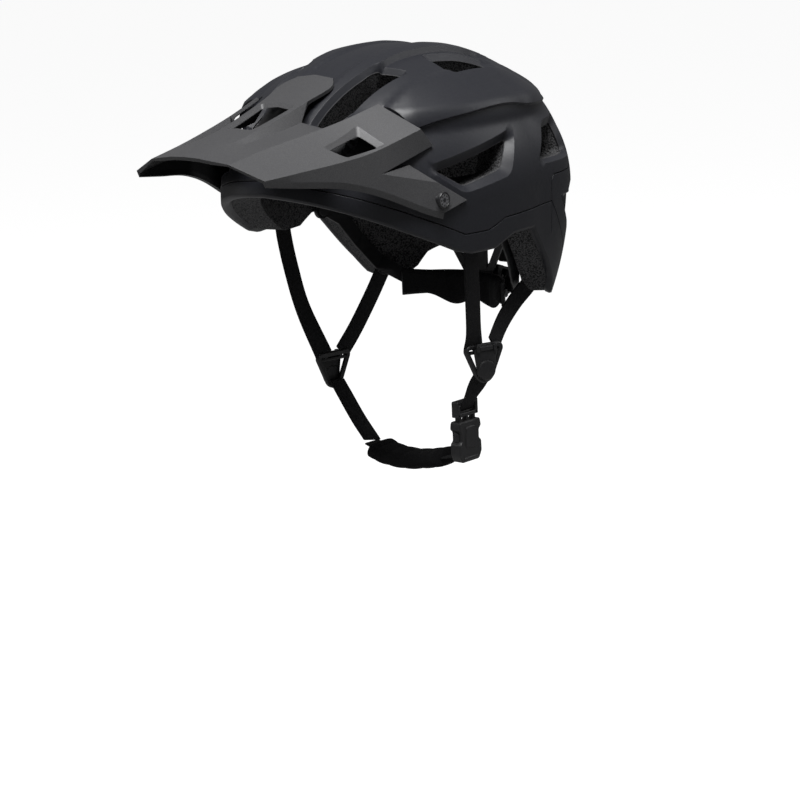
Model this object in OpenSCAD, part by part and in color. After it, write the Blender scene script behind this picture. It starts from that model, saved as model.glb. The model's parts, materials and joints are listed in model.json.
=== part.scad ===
// Half-shell cycling helmet with a tilting visor, dial retention, chin strap and rear goggle cord.
// Millimetres. +X is the wearer's left, +Y the rear, +Z up; the origin is the middle of the head
// opening at ear-rim height.

/* [Shell] */
// Half width of the shell at its widest belt
shell_half_width = 107.5; // [100:0.5:112]
// Distance from the belt centre to the front of the shell
front_reach = 138; // [130:1:144]
// Distance from the belt centre to the back of the shell
rear_reach = 129; // [124:1:134]
// Height of the crown above the belt
crown_rise = 101; // [96:1:106]
// Thickness of the outer shell
shell_t = 1.2; // [0.8:0.1:2]
// Thickness of the foam liner with its shell
foam_t = 28; // [26:1:30]

/* [Visor] */
// Thickness of the visor plate
visor_t = 2.4; // [2:0.1:3]
// Radius of the visor screw shank
screw_r = 3; // [2.5:0.1:3.5]
// Radius of the visor screw head
screw_head_r = 5.6; // [5:0.1:6.5]

/* [Retention] */
// Radius of the dial knob
dial_r = 14; // [12:0.5:16]
// Lean of the dial face towards the ground
dial_lean = 18; // [10:1:24]
// Height of the adjusting bands
band_h = 11; // [9:1:12]

/* [Straps] */
// Width of the webbing
webbing_w = 15; // [14:0.5:16]
// Thickness of the webbing
webbing_t = 1.4; // [1:0.1:1.8]

/* [Hidden] */
// Widest level of the shell
belt = [0, 6, 30];
// Lowest level of the dome solid and number of its sides
below = 60;
around = 56;
// How much the shell narrows below the belt, per square millimetre of drop
taper_side = 0.0016;
taper_front = 0.0008;
taper_rear = 0.0035;
// Swell of the tail of the shell and the heights where it starts, is full and fades
tail_swell = 11;
swell_start = 68;
swell_full = 96;
swell_fade = 108;
// Extra fullness of the outside between its rear and its sides, and where it starts
rear_corner = 0.055;
corner_start = 0.42;
// Extra fullness of the flanks by height, for the shoulder where the top meets the sides
shoulder_by_height = [[30, 0], [62, 0.02], [81, 0.03], [96, 0.14], [131, 0.14]];
// Azimuths from the side where the shoulder starts to fade and is gone, in front and behind
shoulder_fade_front = [35, 60];
shoulder_fade_rear = [20, 45];
// Half width of the cutting blocks
reach_x = 150;
// How near the middle the cutters for the vents reach, from each direction
side_cut = 36;
top_cut = 60;
end_cut = 70;
// Ends of the bores for the visor screws
bore_from = 80;
bore_to = 110;
// Places of the fittings
screw_pos = [90, -61, 38];
dial_pos = [0, 101, -51];
temple = [76, 10, 10];
band_root_y = 17.5;
divider_left = [77, 0, -84.5];
divider_right = [-73, 13, -108];
buckle_pos = [62, -3, -133.5];
// Bearing of each divider's face about the vertical
divider_turn_left = 70;
divider_turn_right = -100;
cord_r = 1.1;
// How far the foam stops above the rim of the shell
foam_lip = 0.8;
// Height of the seat of a visor screw's head over its place
head_seat = 8;
// Threaded insert for a visor screw
insert_r = 6;
insert_depth = 9;
// Gap left between a pad and the faceted inside of the liner
pad_gap = 0.6;
// Pitch radius of the dial pinion, and its teeth
pinion_r = 4.5;
pinion_teeth = 9;

// ---- dome surface -------------------------------------------------------------------------

function drop(z) = max(0, belt[2] - z);
function side_semi(z, grow, slim) = shell_half_width + grow - slim * taper_side * pow(drop(z), 2);
// Rearward swell of the tail at height z
function swell(z) = tail_swell * max(0, min(1, (z - swell_start) / (swell_full - swell_start)))
    * min(1, (belt[2] + crown_rise - z) / (belt[2] + crown_rise - swell_fade));
function reach_semi(z, grow, slim, front) =
    (front ? front_reach - slim * taper_front * pow(drop(z), 2)
           : rear_reach - slim * taper_rear * pow(drop(z), 2)) + grow;
// Shrink of the belt ellipse at height z
function shrink(z, grow) =
    z <= belt[2] ? 1 : sqrt(max(0, 1 - pow((z - belt[2]) / (crown_rise + grow), 2)));
// Share of the extra fullness at azimuth a
function corner(a) = sin(a) < 0 ? 0
    : let (s = max(0, (abs(sin(2 * a)) - corner_start) / (1 - corner_start))) s * s * (3 - 2 * s);
// Extra fullness of the shoulder at azimuth a and height z
function shoulder(a, z) =
    let (off = acos(abs(cos(a))), fade = sin(a) < 0 ? shoulder_fade_front : shoulder_fade_rear)
        lookup(z, shoulder_by_height) * max(0, min(1, (fade[1] - off) / (fade[1] - fade[0])));
// Point of the dome at azimuth a (0 is +X, 90 is the rear) and height z
function dome_point(a, z, grow, slim = 1) =
    let (full = shrink(z, grow) * (1 + slim * (rear_corner * corner(a) + shoulder(a, z))))
        [side_semi(z, grow, slim) * full * cos(a),
         belt[1] + reach_semi(z, grow, slim, sin(a) < 0) * full * sin(a)
             + slim * swell(z) * pow(max(0, sin(a)), 3),
         z];
// Point of the dome behind or in front of a place x, y (its height)
function dome_height(x, y, grow) =
    belt[2] + (crown_rise + grow) * sqrt(max(0, 1 - pow(x / (shell_half_width + grow), 2)
        - pow((y - belt[1]) / ((y < belt[1] ? front_reach : rear_reach) + grow), 2)));

// Closed solid between two equal grids of points: rows x cols, front grid and back grid
module grid_solid(front, back) {
    rows = len(front);
    cols = len(front[0]);
    n = rows * cols;
    pts = concat([for (r = front) for (p = r) p], [for (r = back) for (p = r) p]);
    skin = [for (i = [0 : rows - 2]) for (j = [0 : cols - 2])
        [i * cols + j, i * cols + j + 1, (i + 1) * cols + j + 1, (i + 1) * cols + j]];
    rear = [for (f = skin) [n + f[3], n + f[2], n + f[1], n + f[0]]];
    first_row = [for (j = [0 : cols - 2]) [j + 1, j, n + j, n + j + 1]];
    last = (rows - 1) * cols;
    last_row = [for (j = [0 : cols - 2]) [last + j, last + j + 1, n + last + j + 1, n + last + j]];
    first_col = [for (i = [0 : rows - 2]) [i * cols, (i + 1) * cols, n + (i + 1) * cols, n + i * cols]];
    e = cols - 1;
    last_col = [for (i = [0 : rows - 2])
        [(i + 1) * cols + e, i * cols + e, n + i * cols + e, n + (i + 1) * cols + e]];
    quads = concat(skin, rear, first_row, last_row, first_col, last_col);
    tris = [for (q = quads) each [[q[0], q[1], q[2]], [q[0], q[2], q[3]]]];
    polyhedron(points = pts, faces = [for (t = tris) [t[2], t[1], t[0]]]);
}

// Solid dome: flat base below the belt, closed at the crown
module dome(grow, slim = 1) {
    lower = [for (k = [0 : 3]) -below + k * (belt[2] + below) / 4];
    upper = [for (k = [0 : 11]) belt[2] + (crown_rise + grow) * sin(k * 7.4)];
    heights = concat(lower, upper);
    rings = len(heights);
    ring_pts = [for (z = heights) for (k = [0 : around - 1]) dome_point(k * 360 / around, z, grow, slim)];
    base = rings * around;
    pts = concat(ring_pts, [[0, belt[1], -below], [0, belt[1], belt[2] + crown_rise + grow]]);
    wall = [for (i = [0 : rings - 2]) for (k = [0 : around - 1])
        let (m = (k + 1) % around, a = i * around, b = (i + 1) * around)
            each [[a + k, b + k, b + m], [a + k, b + m, a + m]]];
    floor_fan = [for (k = [0 : around - 1]) [base, k, (k + 1) % around]];
    top = (rings - 1) * around;
    crown_fan = [for (k = [0 : around - 1]) [base + 1, top + (k + 1) % around, top + k]];
    polyhedron(points = pts, faces = concat(wall, floor_fan, crown_fan));
}

// Patch of padding that follows the dome, from azimuth a0 to a1 and height z0 to z1
module dome_patch(a0, a1, z0, z1, grow, thick, cols = 12, rows = 3) {
    outer = [for (i = [0 : rows]) [for (j = [0 : cols])
        dome_point(a0 + (a1 - a0) * j / cols, z0 + (z1 - z0) * i / rows, grow, 0)]];
    inner = [for (i = [0 : rows]) [for (j = [0 : cols])
        dome_point(a0 + (a1 - a0) * j / cols, z0 + (z1 - z0) * i / rows, grow - thick, 0)]];
    grid_solid(outer, inner);
}

// ---- outlines (side view: [y, z]; rear view: [x, z]; plan: [x, y]) -----------------------------

rim_line = [[-170, 49], [-128, 44], [-82, 20], [-47, 3], [-35, 0], [-14, 0.5], [3, 8], [12, 8.5],
    [28, 8.5], [61, -33], [68, -44], [72, -46.5], [88, -46.5], [97, -41], [107, -31], [114, -27],
    [170, -26]];
seam_line = [[-170, 60], [-128, 54], [-89, 35], [-41, 12], [-21, 12.5], [-5, 19], [51, 22],
    [77, -17], [82, -27], [103, -28], [108, -19], [170, -15]];
rear_panel_side = [[51, 22], [51, 37], [54, 40], [170, 40], [170, -40], [90, -40]];
rear_panel_back = [[-60, 39], [60, 39], [57, 47], [49, 68], [42, 86], [36, 93], [0, 95],
    [-36, 93], [-42, 86], [-49, 68], [-57, 47]];
side_vents = [
    [[-58, 57], [10, 72], [-3, 52], [-39, 44]],
    [[43, 52], [55, 73.5], [88, 74], [94, 51]],
    [[68, 22], [104, 19], [105, -3], [86, -1]]];
top_vents = [
    [[31, -42], [47, -36], [36, -104], [25, -104]],
    [[38, 0], [62, -2], [59, 46], [44, 57]]];
rear_vents = [
    [[-29, 80], [29, 80], [33, 57], [-33, 57]],
    [[-31, 24], [31, 24], [27, 1], [-27, 1]]];
brow_vent = [[-11, 84], [11, 84], [9, 66], [-9, 66]];

module from_side(outline, x0, x1) {
    translate([x0, 0, 0]) rotate([90, 0, 90]) linear_extrude(x1 - x0) polygon(outline);
}

module from_rear(outline, y0, y1) {
    translate([0, y1, 0]) rotate([90, 0, 0]) linear_extrude(y1 - y0) polygon(outline);
}

module below_line(line, depth) {
    from_side(concat(line, [[170, -depth], [-170, -depth]]), -reach_x, reach_x);
}

// Tapered cutters for the vents; each narrows slightly towards the head
module vents() {
    for (side = [-1, 1]) {
        for (v = side_vents) scale([side, 1, 1]) hull() {
            from_side(v, reach_x - 1, reach_x);
            from_side([for (p = v) [p[0] * 0.98 + 0.4, p[1] * 0.98 + 0.6]], side_cut, side_cut + 1);
        }
        for (v = top_vents) scale([side, 1, 1]) hull() {
            translate([0, 0, reach_x]) linear_extrude(1) polygon(v);
            translate([0, 0, top_cut]) linear_extrude(1) polygon([for (p = v) p * 0.97]);
        }
    }
    for (v = rear_vents) hull() {
        from_rear(v, reach_x - 1, reach_x);
        from_rear([for (p = v) p * 0.96], end_cut, end_cut + 1);
    }
    hull() {
        from_rear(brow_vent, -reach_x, 1 - reach_x);
        from_rear(brow_vent, -end_cut - 1, -end_cut);
    }
}

module skin() {
    difference() {
        dome(0);
        dome(-shell_t);
    }
}

// Bores for the visor screws, grown by a clearance
module screw_bores(r, x0, x1) {
    for (side = [-1, 1]) scale([side, 1, 1]) translate([x0, screw_pos[1], screw_pos[2]])
        rotate([0, 90, 0]) cylinder(r = r, h = x1 - x0, $fn = 40);
}

module rear_region() {
    from_side(rear_panel_side, -reach_x, reach_x);
    from_rear(rear_panel_back, 80, reach_x);
}

// ---- helmet body -----------------------------------------------------------------------------

module upper_shell() {
    color("#2b2b31") difference() {
        skin();
        below_line(seam_line, 100);
        rear_region();
        vents();
        screw_bores(screw_r + 0.4, bore_from, bore_to);
    }
}

module rear_shell() {
    color("#27272d") difference() {
        intersection() {
            skin();
            rear_region();
        }
        below_line(seam_line, 100);
        vents();
    }
}

module lower_shell() {
    color("#232329") difference() {
        intersection() {
            skin();
            below_line(seam_line, 100);
        }
        below_line(rim_line, 100);
        vents();
    }
}

module foam_liner() {
    color("#1c1c1e") difference() {
        dome(-shell_t - 0.05);
        dome(-foam_t, 0);
        below_line([for (p = rim_line) p + [0, foam_lip]], 100);
        vents();
        screw_bores(screw_r + 0.4, bore_from, bore_to);
        screw_bores(insert_r, screw_pos[0] - insert_depth, screw_pos[0] + 2);
    }
}

module screw_insert(side) {
    color("#8c8c90") translate([side * screw_pos[0], screw_pos[1], screw_pos[2]])
        rotate([0, -side * 90, 0]) difference() {
            cylinder(r = insert_r, h = insert_depth, $fn = 40);
            translate([0, 0, -1]) cylinder(r = screw_r + 0.05, h = insert_depth + 2, $fn = 40);
        }
}

module brow_pad() {
    color("#101012") dome_patch(200, 340, 50, 64, -foam_t - pad_gap, 6, 24, 3);
}

module crown_pads() {
    color("#101012") for (x = [-16, 16])
        grid_solid(
            [for (i = [0 : 10]) [for (dx = [-7, 7])
                let (y = -45 + i * 10) [x + dx, y, dome_height(x + dx, y, -foam_t - pad_gap)]]],
            [for (i = [0 : 10]) [for (dx = [-7, 7])
                let (y = -45 + i * 10) [x + dx, y, dome_height(x + dx, y, -foam_t - pad_gap) - 6]]]);
}

module side_pads() {
    color("#101012") for (a = [-14, 194])
        dome_patch(a - 12, a + 12, 34, 46, -foam_t - pad_gap, 6, 8, 3);
}

module strap_anchors() {
    color("#1a1a1c") for (side = [-1, 1]) {
        translate([side * 87, -23, 14]) cube([10, 20, 3], center = true);
        translate([side * 66, 74, -34]) cube([8, 16, 3], center = true);
    }
}

module temple_pin(side) {
    color("#1a1a1c") translate([side * temple[0], temple[1], temple[2]]) rotate([0, side * 90, 0]) {
        translate([0, 0, -3.4]) cylinder(r = 5, h = 1.4, $fn = 40);
        translate([0, 0, -3]) cylinder(r = 2.5, h = 12, $fn = 40);
    }
}

module stem_guide() {
    color("#1a1a1c") {
        translate([-14, 108.6, -18]) cube([28, 1.6, 30]);
        for (side = [-1, 1]) translate([side * 13 - 1, 95.5, -14]) cube([2, 14, 22]);
    }
}

// ---- visor ------------------------------------------------------------------------------------

// Longitudinal crease lines of the left half, front to rear
ridge_top = [[0, -200, 79], [0, -168, 87], [0, -135, 95], [0, -102, 106], [0, -72, 118]];
ridge_edge = [[12, -199, 78.5], [16, -166, 85.5], [18, -135, 93.5], [20, -102, 104], [22, -72, 115]];
channel_in = [[24, -197.5, 77], [26, -168, 83.5], [29, -138, 88], [32, -112, 92.5]];
channel_out = [[39, -194, 74], [42, -166, 80], [45, -136, 84.5], [49, -108, 90]];
panel_top = [[43, -193, 73], [45, -166, 79.5], [48, -136, 85], [52, -106, 91], [55.5, -72, 101.5]];
crease = [[58, -187, 65], [65, -160, 67.5], [73, -130, 70.5], [80, -98, 75.5], [87, -67, 85]];
bottom = [[57, -186, 60.5], [64, -160, 57], [73, -130, 53], [83, -95, 42], [91.5, -72, 30]];
// Lower rear corner of the side panel and inner end of the notch under it
panel_corner = [88.4, -57, 73];
notch = [81.5, -101, 59.5];
// Outline of the arm to the screw
arm = [[84, -77, 62.5], [96, -58, 49.5], [102.5, -41, 35.5], [97, -60, 25]];

module plate(corners) {
    hull() for (p = corners) translate(p) sphere(d = visor_t, $fn = 8);
}

module strip(a, b, from, to) {
    for (i = [from : to - 1]) plate([a[i], a[i + 1], b[i + 1], b[i]]);
}

module visor_half() {
    strip(ridge_top, ridge_edge, 0, 4);
    strip(ridge_edge, channel_in, 0, 1);
    plate([ridge_edge[1], ridge_edge[2], channel_in[2], channel_in[1]]);
    plate([ridge_edge[2], ridge_edge[3], channel_in[3], channel_in[2]]);
    strip(channel_in, channel_out, 0, 3);
    strip(channel_out, panel_top, 0, 3);
    strip(panel_top, crease, 0, 4);
    strip(crease, bottom, 0, 3);
    plate([crease[3], crease[4], panel_corner, notch]);
    plate([crease[3], notch, bottom[3]]);
    plate([notch, arm[0], bottom[4], bottom[3]]);
    plate([arm[0], arm[1], arm[3], bottom[4]]);
    plate([arm[1], arm[2], arm[3]]);
}

module visor() {
    color("#4b4b4d") difference() {
        for (side = [-1, 1]) scale([side, 1, 1]) visor_half();
        dome(0.8);
        for (side = [-1, 1]) {
            translate([side * 66, -115, 60]) linear_extrude(60)
                polygon([[side * -7, -11], [side * 4, -7], [side * 9, 15], [side * -5, 14]]);
        }
        translate([0, 0, 60]) linear_extrude(60) polygon([[-9, -146], [9, -146], [12, -112], [-12, -112]]);
        screw_bores(screw_r + 0.5, bore_from, bore_to);
        screw_bores(screw_head_r + 0.5, screw_pos[0] + head_seat - 0.1, bore_to);
    }
}

module visor_screw(side) {
    color("#9a9a9e") translate([side * screw_pos[0], screw_pos[1], screw_pos[2]])
    rotate([0, side * 90, 0]) {
        translate([0, 0, head_seat]) cylinder(r = screw_head_r, h = 2, $fn = 48);
        translate([0, 0, 0.5 - insert_depth])
            cylinder(r = screw_r, h = insert_depth + head_seat, $fn = 40);
    }
}

// ---- retention ----------------------------------------------------------------------------------

cradle_centre = 24;
function cradle_point(a, grow) = [(66 + grow) * cos(a), cradle_centre + (77 + grow) * sin(a)];

// Ribbon through stations [position, width direction], w wide and t thick
function unit(v) = v / norm(v);
function along(s, i) = unit(s[min(i + 1, len(s) - 1)][0] - s[max(i - 1, 0)][0]);
function across(s, i) = let (d = along(s, i)) unit(s[i][1] - d * (d * s[i][1]));
function ribbon_face(s, w, lift) = [for (i = [0 : len(s) - 1])
    let (side = across(s, i) * w / 2, n = cross(along(s, i), across(s, i)) * lift)
        [s[i][0] - side + n, s[i][0] + side + n]];
module ribbon(s, w, t) {
    grid_solid(ribbon_face(s, w, t / 2), ribbon_face(s, w, -t / 2));
}

module at_dial() {
    translate(dial_pos) rotate([-dial_lean, 0, 0]) children();
}

module temple_pivots() {
    color("#17171a") for (side = [-1, 1])
        translate([side * temple[0], temple[1], temple[2]]) rotate([0, side * 90, 0]) {
            difference() {
                translate([0, 0, -1.6]) cylinder(r = 7, h = 2.4, $fn = 48);
                translate([0, 0, -3]) cylinder(r = 2.55, h = 8, $fn = 40);
            }
        }
}

// Rack strip with its teeth towards the pinion, in the dial frame; up is +1 for the upper rack
pitch = 2 * 180 / pinion_teeth * 3.14159265 / 180 * pinion_r;
module rack(up) {
    phase = up > 0 ? pitch / 2 : 0;
    scale([up, 1, up]) {
        translate([-10, -1, 5.8]) cube([34, 2, 3]);
        for (k = [-2 : 6]) translate([phase + k * pitch, 0, 0]) hull() {
            translate([-0.8, -1, 5.5]) cube([1.6, 2, 0.6]);
            translate([-0.4, -1, 4.2]) cube([0.8, 2, 0.6]);
        }
    }
}

// Stations of a band from the temple to the dial: place and lean of its width from upright
function band_stations() = concat(
    [[[temple[0], band_root_y + 0.5, 8], 27], [[75, 30, 1], 37], [[71, 43, -17], 53],
     [[63.5, 56, -35], 48]],
    [for (a = [42 : 6 : 66]) [[cradle_point(a, 0)[0], cradle_point(a, 0)[1], dial_pos[2] + 1], 0]],
    [[[23, 98, dial_pos[2] + 0.5], 0]]);

module band(side) {
    s = band_stations();
    color("#17171a") {
        scale([side, 1, 1]) for (i = [0 : len(s) - 2]) hull() for (k = [i, i + 1])
            translate(s[k][0]) rotate([-s[k][1], 0, 0])
                cylinder(r = 0.8, h = band_h, center = true, $fn = 12);
        at_dial() {
            rack(side);
            scale([side, 1, side]) translate([21, -4.4, -5.1]) cube([2.9, 5.4, 13.9]);
        }
    }
}

// Curved strip that follows the cradle ellipse
module cradle_arc(a0, a1, grow, thick, z0, z1, steps) {
    grid_solid(
        [for (z = [z0, z1]) [for (k = [0 : steps])
            let (p = cradle_point(a0 + (a1 - a0) * k / steps, grow)) [p[0], p[1], z]]],
        [for (z = [z0, z1]) [for (k = [0 : steps])
            let (p = cradle_point(a0 + (a1 - a0) * k / steps, grow - thick)) [p[0], p[1], z]]]);
}

module cradle() {
    color("#17171a") cradle_arc(34, 146, -8.4, 2.2, dial_pos[2] - 8, dial_pos[2] + 9, 28);
}

module dial_housing() {
    color("#17171a") at_dial() difference() {
        translate([-16, -8, -12]) cube([32, 13.4, 24]);
        translate([-17, -3.4, -10.2]) cube([34, 6.8, 20.4]);
        rotate([-90, 0, 0]) cylinder(r = 2.65, h = 20, $fn = 40);
    }
}

module height_stem() {
    color("#1d1d20") {
        translate([-8.5, 92, -43]) cube([17, 2, 43]);
        for (side = [-1, 1]) scale([side, 1, 1]) hull() {
            translate([8, 92, -43]) cube([5, 2, 2]);
            translate([20, 90, -22]) cube([5, 2, 2]);
        }
    }
}

module occipital_pad() {
    color("#101012") cradle_arc(34, 146, -10.8, 6, dial_pos[2] - 14, dial_pos[2] + 12, 28);
}

module dial_knob() {
    color("#1a1a1d") at_dial() rotate([-90, 0, 0]) {
        difference() {
            translate([0, 0, 6]) cylinder(r = dial_r, h = 8, $fn = 80);
            for (k = [0 : 23]) rotate([0, 0, k * 15]) translate([dial_r + 0.6, 0, 5])
                cylinder(r = 1.2, h = 10, $fn = 16);
        }
        translate([0, 0, -2]) cylinder(r = 2.6, h = 9, $fn = 40);
    }
}

module dial_pinion() {
    color("#8c8c90") at_dial() rotate([90, 0, 0]) translate([0, 0, -1.3]) linear_extrude(2.6)
        difference() {
            union() {
                circle(r = 3.6, $fn = 40);
                for (k = [0 : pinion_teeth - 1]) rotate([0, 0, 90 + k * 360 / pinion_teeth])
                    polygon([[3, -0.75], [5.2, -0.38], [5.2, 0.38], [3, 0.75]]);
            }
            circle(r = 2.6, $fn = 40);
        }
}

// ---- straps ---------------------------------------------------------------------------------------

module strap(stations) {
    color("#0c0c0d") ribbon(stations, webbing_w, webbing_t);
}

// Circles of a divider's outline: x, y and radius; its wall and its thickness
divider_rounds = [[-11, 9, 4], [11, 9, 4], [0, -6, 8]];
divider_wall = 3;
divider_t = 2.6;

// Place on a divider: x along its width, y up, at the middle of its thickness
function divider_point(side, x, y) =
    let (turn = side > 0 ? divider_turn_left : divider_turn_right)
        (side > 0 ? divider_left : divider_right)
            + [x * cos(turn) + 1.3 * sin(turn), x * sin(turn) - 1.3 * cos(turn), y];
function divider_width(side) =
    let (turn = side > 0 ? divider_turn_left : divider_turn_right) side * [cos(turn), sin(turn), 0];

module front_strap(side) {
    top_x = side > 0 ? 88 : 85;
    strap([[[side * top_x, -22, 13], [0, 1, 0]], [[side * (top_x - 0.5), -21.5, -4], [0, 1, 0]],
        [[side * (top_x - 3), -18, -30], [0, 1, -0.1]], [[side * 79, -11, -60], [0, 1, -0.1]],
        [divider_point(side, -8 * side, 13.6), divider_width(side)]]);
}

rear_route_left = [[68, 74, -33], [69, 66, -40], [70.5, 48, -49], [73.5, 28, -61]];
rear_route_right = [[-68, 74, -33], [-69, 66, -43], [-70.5, 54, -60], [-72, 37, -81]];
module rear_strap(side) {
    lean = [0, -0.6, 0.8];
    route = side > 0 ? rear_route_left : rear_route_right;
    strap(concat([for (p = route) [p, lean]], [[divider_point(side, 8 * side, 13.6), lean]]));
}

module divider_outline(grow) {
    hull() for (c = divider_rounds) translate([c[0], c[1]]) circle(r = c[2] + grow, $fn = 32);
}

module at_divider(side) {
    translate(side > 0 ? divider_left : divider_right)
        rotate([90, 0, side > 0 ? divider_turn_left : divider_turn_right]) children();
}

module divider_frame(side) {
    color("#1b1b1d") at_divider(side) {
        linear_extrude(divider_t) difference() {
            divider_outline(0);
            divider_outline(-divider_wall);
        }
        for (x = [-8.2, 5.4]) translate([x, lever_pivot[1] - 2.2, 0]) difference() {
            cube([2.8, 4.4, 7]);
            translate([-1, 2.2, lever_pivot[2]]) rotate([0, 90, 0]) cylinder(r = 1.1, h = 5, $fn = 24);
        }
    }
}

// Axis of the cam lever in the divider's own frame, and the height and radius of its disc
lever_pivot = [0, 10.7, 4.6];
lever_disc = [-5, 7];

module cam_lever(side) {
    color("#202022") at_divider(side) {
        translate(lever_pivot) rotate([0, 90, 0]) {
            translate([0, 0, -7.5]) cylinder(r = 1.04, h = 15, $fn = 24);
            translate([0, 0, -5]) cylinder(r = 1.9, h = 10, $fn = 24);
        }
        translate([-4.8, lever_disc[0], 3]) cube([9.6, lever_pivot[1] - lever_disc[0], 2]);
        translate([0, lever_disc[0], 3]) cylinder(r = lever_disc[1], h = 3.2, $fn = 48);
    }
}

module lower_strap_left() {
    strap([[divider_point(1, 0, -7), divider_width(1)], [[73, -1.5, -100], divider_width(1)],
        [[67, -3, -111], [0, 1, 0]],
        [[buckle_pos[0] - 0.4, -3, buckle_pos[2] + 14], [0, 1, 0]]]);
}

module lower_strap_right() {
    d = divider_right;
    strap([[[d[0] + 2, d[1] - 0.5, d[2] - 8], [0, 1, 0]],
        [[-64, 11.5, -124], [0, 1, 0]], [[-46, 6, -140], [0, 1, 0]],
        [[-28, 0, -152.5], [0, 1, 0]]]);
}

module buckle_plug() {
    color("#141415") translate(buckle_pos) {
        difference() {
            translate([-3, -11, 10]) cube([6, 22, 11]);
            translate([-1.1, -8.2, 9]) cube([2.2, 16.4, 14]);
        }
        translate([-3, -11, 10]) cube([6, 22, 3]);
        for (side = [-1, 1]) translate([-2, side * 7.2 - 1.8, -12]) cube([4, 3.6, 23]);
        translate([-2, -1.5, -8]) cube([4, 3, 19]);
    }
}

module buckle_socket() {
    color("#141415") translate(buckle_pos) difference() {
        translate([-4.5, -12, -22]) cube([9, 24, 29]);
        translate([-2.5, -9.6, -14]) cube([5, 19.2, 30]);
        for (side = [-1, 1]) translate([-6, side * 12 - 3, -8]) cube([12, 6, 9]);
        translate([-6, -8.2, -20]) cube([12, 16.4, 3]);
    }
}

module chin_strap() {
    strap([[[buckle_pos[0] + 3, -3, -152], [0, 1, 0]], [[52, -3, -153.5], [0, 1, 0]],
        [[32, -2.5, -158], [0, 1, 0]], [[12, -2, -161], [0, 1, 0]], [[-8, -1.5, -160], [0, 1, 0]],
        [[-27.5, -1, -154], [0, 1, 0]]]);
}

chin_pad_r = 6.5;

// Soft sleeve round the chin strap
module chin_pad() {
    route = [[44, -155.2], [32, -158], [12, -161], [-8, -160], [-21, -156]];
    tunnel = concat([[60, -152]], route, [[-38, -150]]);
    color("#0b0b0c") difference() {
        for (i = [0 : 3]) hull() for (p = [route[i], route[i + 1]]) for (y = [-8, 8])
            translate([p[0], y - 2, p[1]]) sphere(r = chin_pad_r, $fn = 16);
        for (i = [0 : len(tunnel) - 2]) hull() for (p = [tunnel[i], tunnel[i + 1]])
            translate([p[0], -2, p[1]]) cube([3, 16.4, 2.4], center = true);
    }
}

// ---- goggle cord ----------------------------------------------------------------------------------

plug_pos = [22, 113, 87];
cord_route = [[22, 118.6, 86], [20.5, 128, 74], [18.5, 133, 62], [15, 137.6, 40], [12, 138, 20],
    [7, 135.5, -3]];

module cord_plugs() {
    color("#101011") for (side = [-1, 1])
        translate([side * plug_pos[0], plug_pos[1] - 3, plug_pos[2] - 2]) rotate([-60, 0, 0])
            cylinder(r = 4, h = 6, $fn = 40);
}

module goggle_cord() {
    color("#0d0d0e") for (side = [-1, 1]) for (i = [0 : len(cord_route) - 2])
        hull() for (p = [cord_route[i], cord_route[i + 1]])
            translate([side * p[0], p[1], p[2]]) sphere(r = cord_r, $fn = 12);
}

module cord_hook() {
    color("#121213") translate([0, 134.4, -2]) rotate([-14, 0, 0]) difference() {
        union() {
            translate([-8.5, -1, -21]) cube([17, 5, 22]);
            translate([-7, -1, -40]) cube([14, 2, 20]);
        }
        translate([-4.5, 1.2, -15]) cube([9, 6, 11]);
    }
}

upper_shell();
rear_shell();
lower_shell();
foam_liner();
visor();
visor_screw(1);  // visor_screw_left
visor_screw(-1);  // visor_screw_right
screw_insert(1);  // screw_insert_left
screw_insert(-1);  // screw_insert_right
brow_pad();
crown_pads();
side_pads();
strap_anchors();
temple_pin(1);  // temple_pin_left
temple_pin(-1);  // temple_pin_right
stem_guide();
temple_pivots();
band(1);  // band_left
band(-1);  // band_right
cradle();
dial_housing();
height_stem();
occipital_pad();
dial_knob();
dial_pinion();
front_strap(1);  // front_strap_left
front_strap(-1);  // front_strap_right
rear_strap(1);  // rear_strap_left
rear_strap(-1);  // rear_strap_right
divider_frame(1);  // divider_frame_left
divider_frame(-1);  // divider_frame_right
cam_lever(1);  // cam_lever_left
cam_lever(-1);  // cam_lever_right
lower_strap_left();
lower_strap_right();
buckle_plug();
buckle_socket();
chin_strap();
chin_pad();
cord_plugs();
goggle_cord();
cord_hook();
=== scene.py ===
"""Looks of the half-shell cycling helmet: shells, foam, visor, webbing and hardware.

Lengths are in millimetres in the row frame (+X wearer's left, +Y rear, +Z up) and become
metres where a mesh is made.
"""

import json
import math

import bmesh
import bpy
import numpy as np
from mathutils import Matrix, Vector
from mathutils.geometry import delaunay_2d_cdt
from mathutils.kdtree import KDTree


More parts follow.
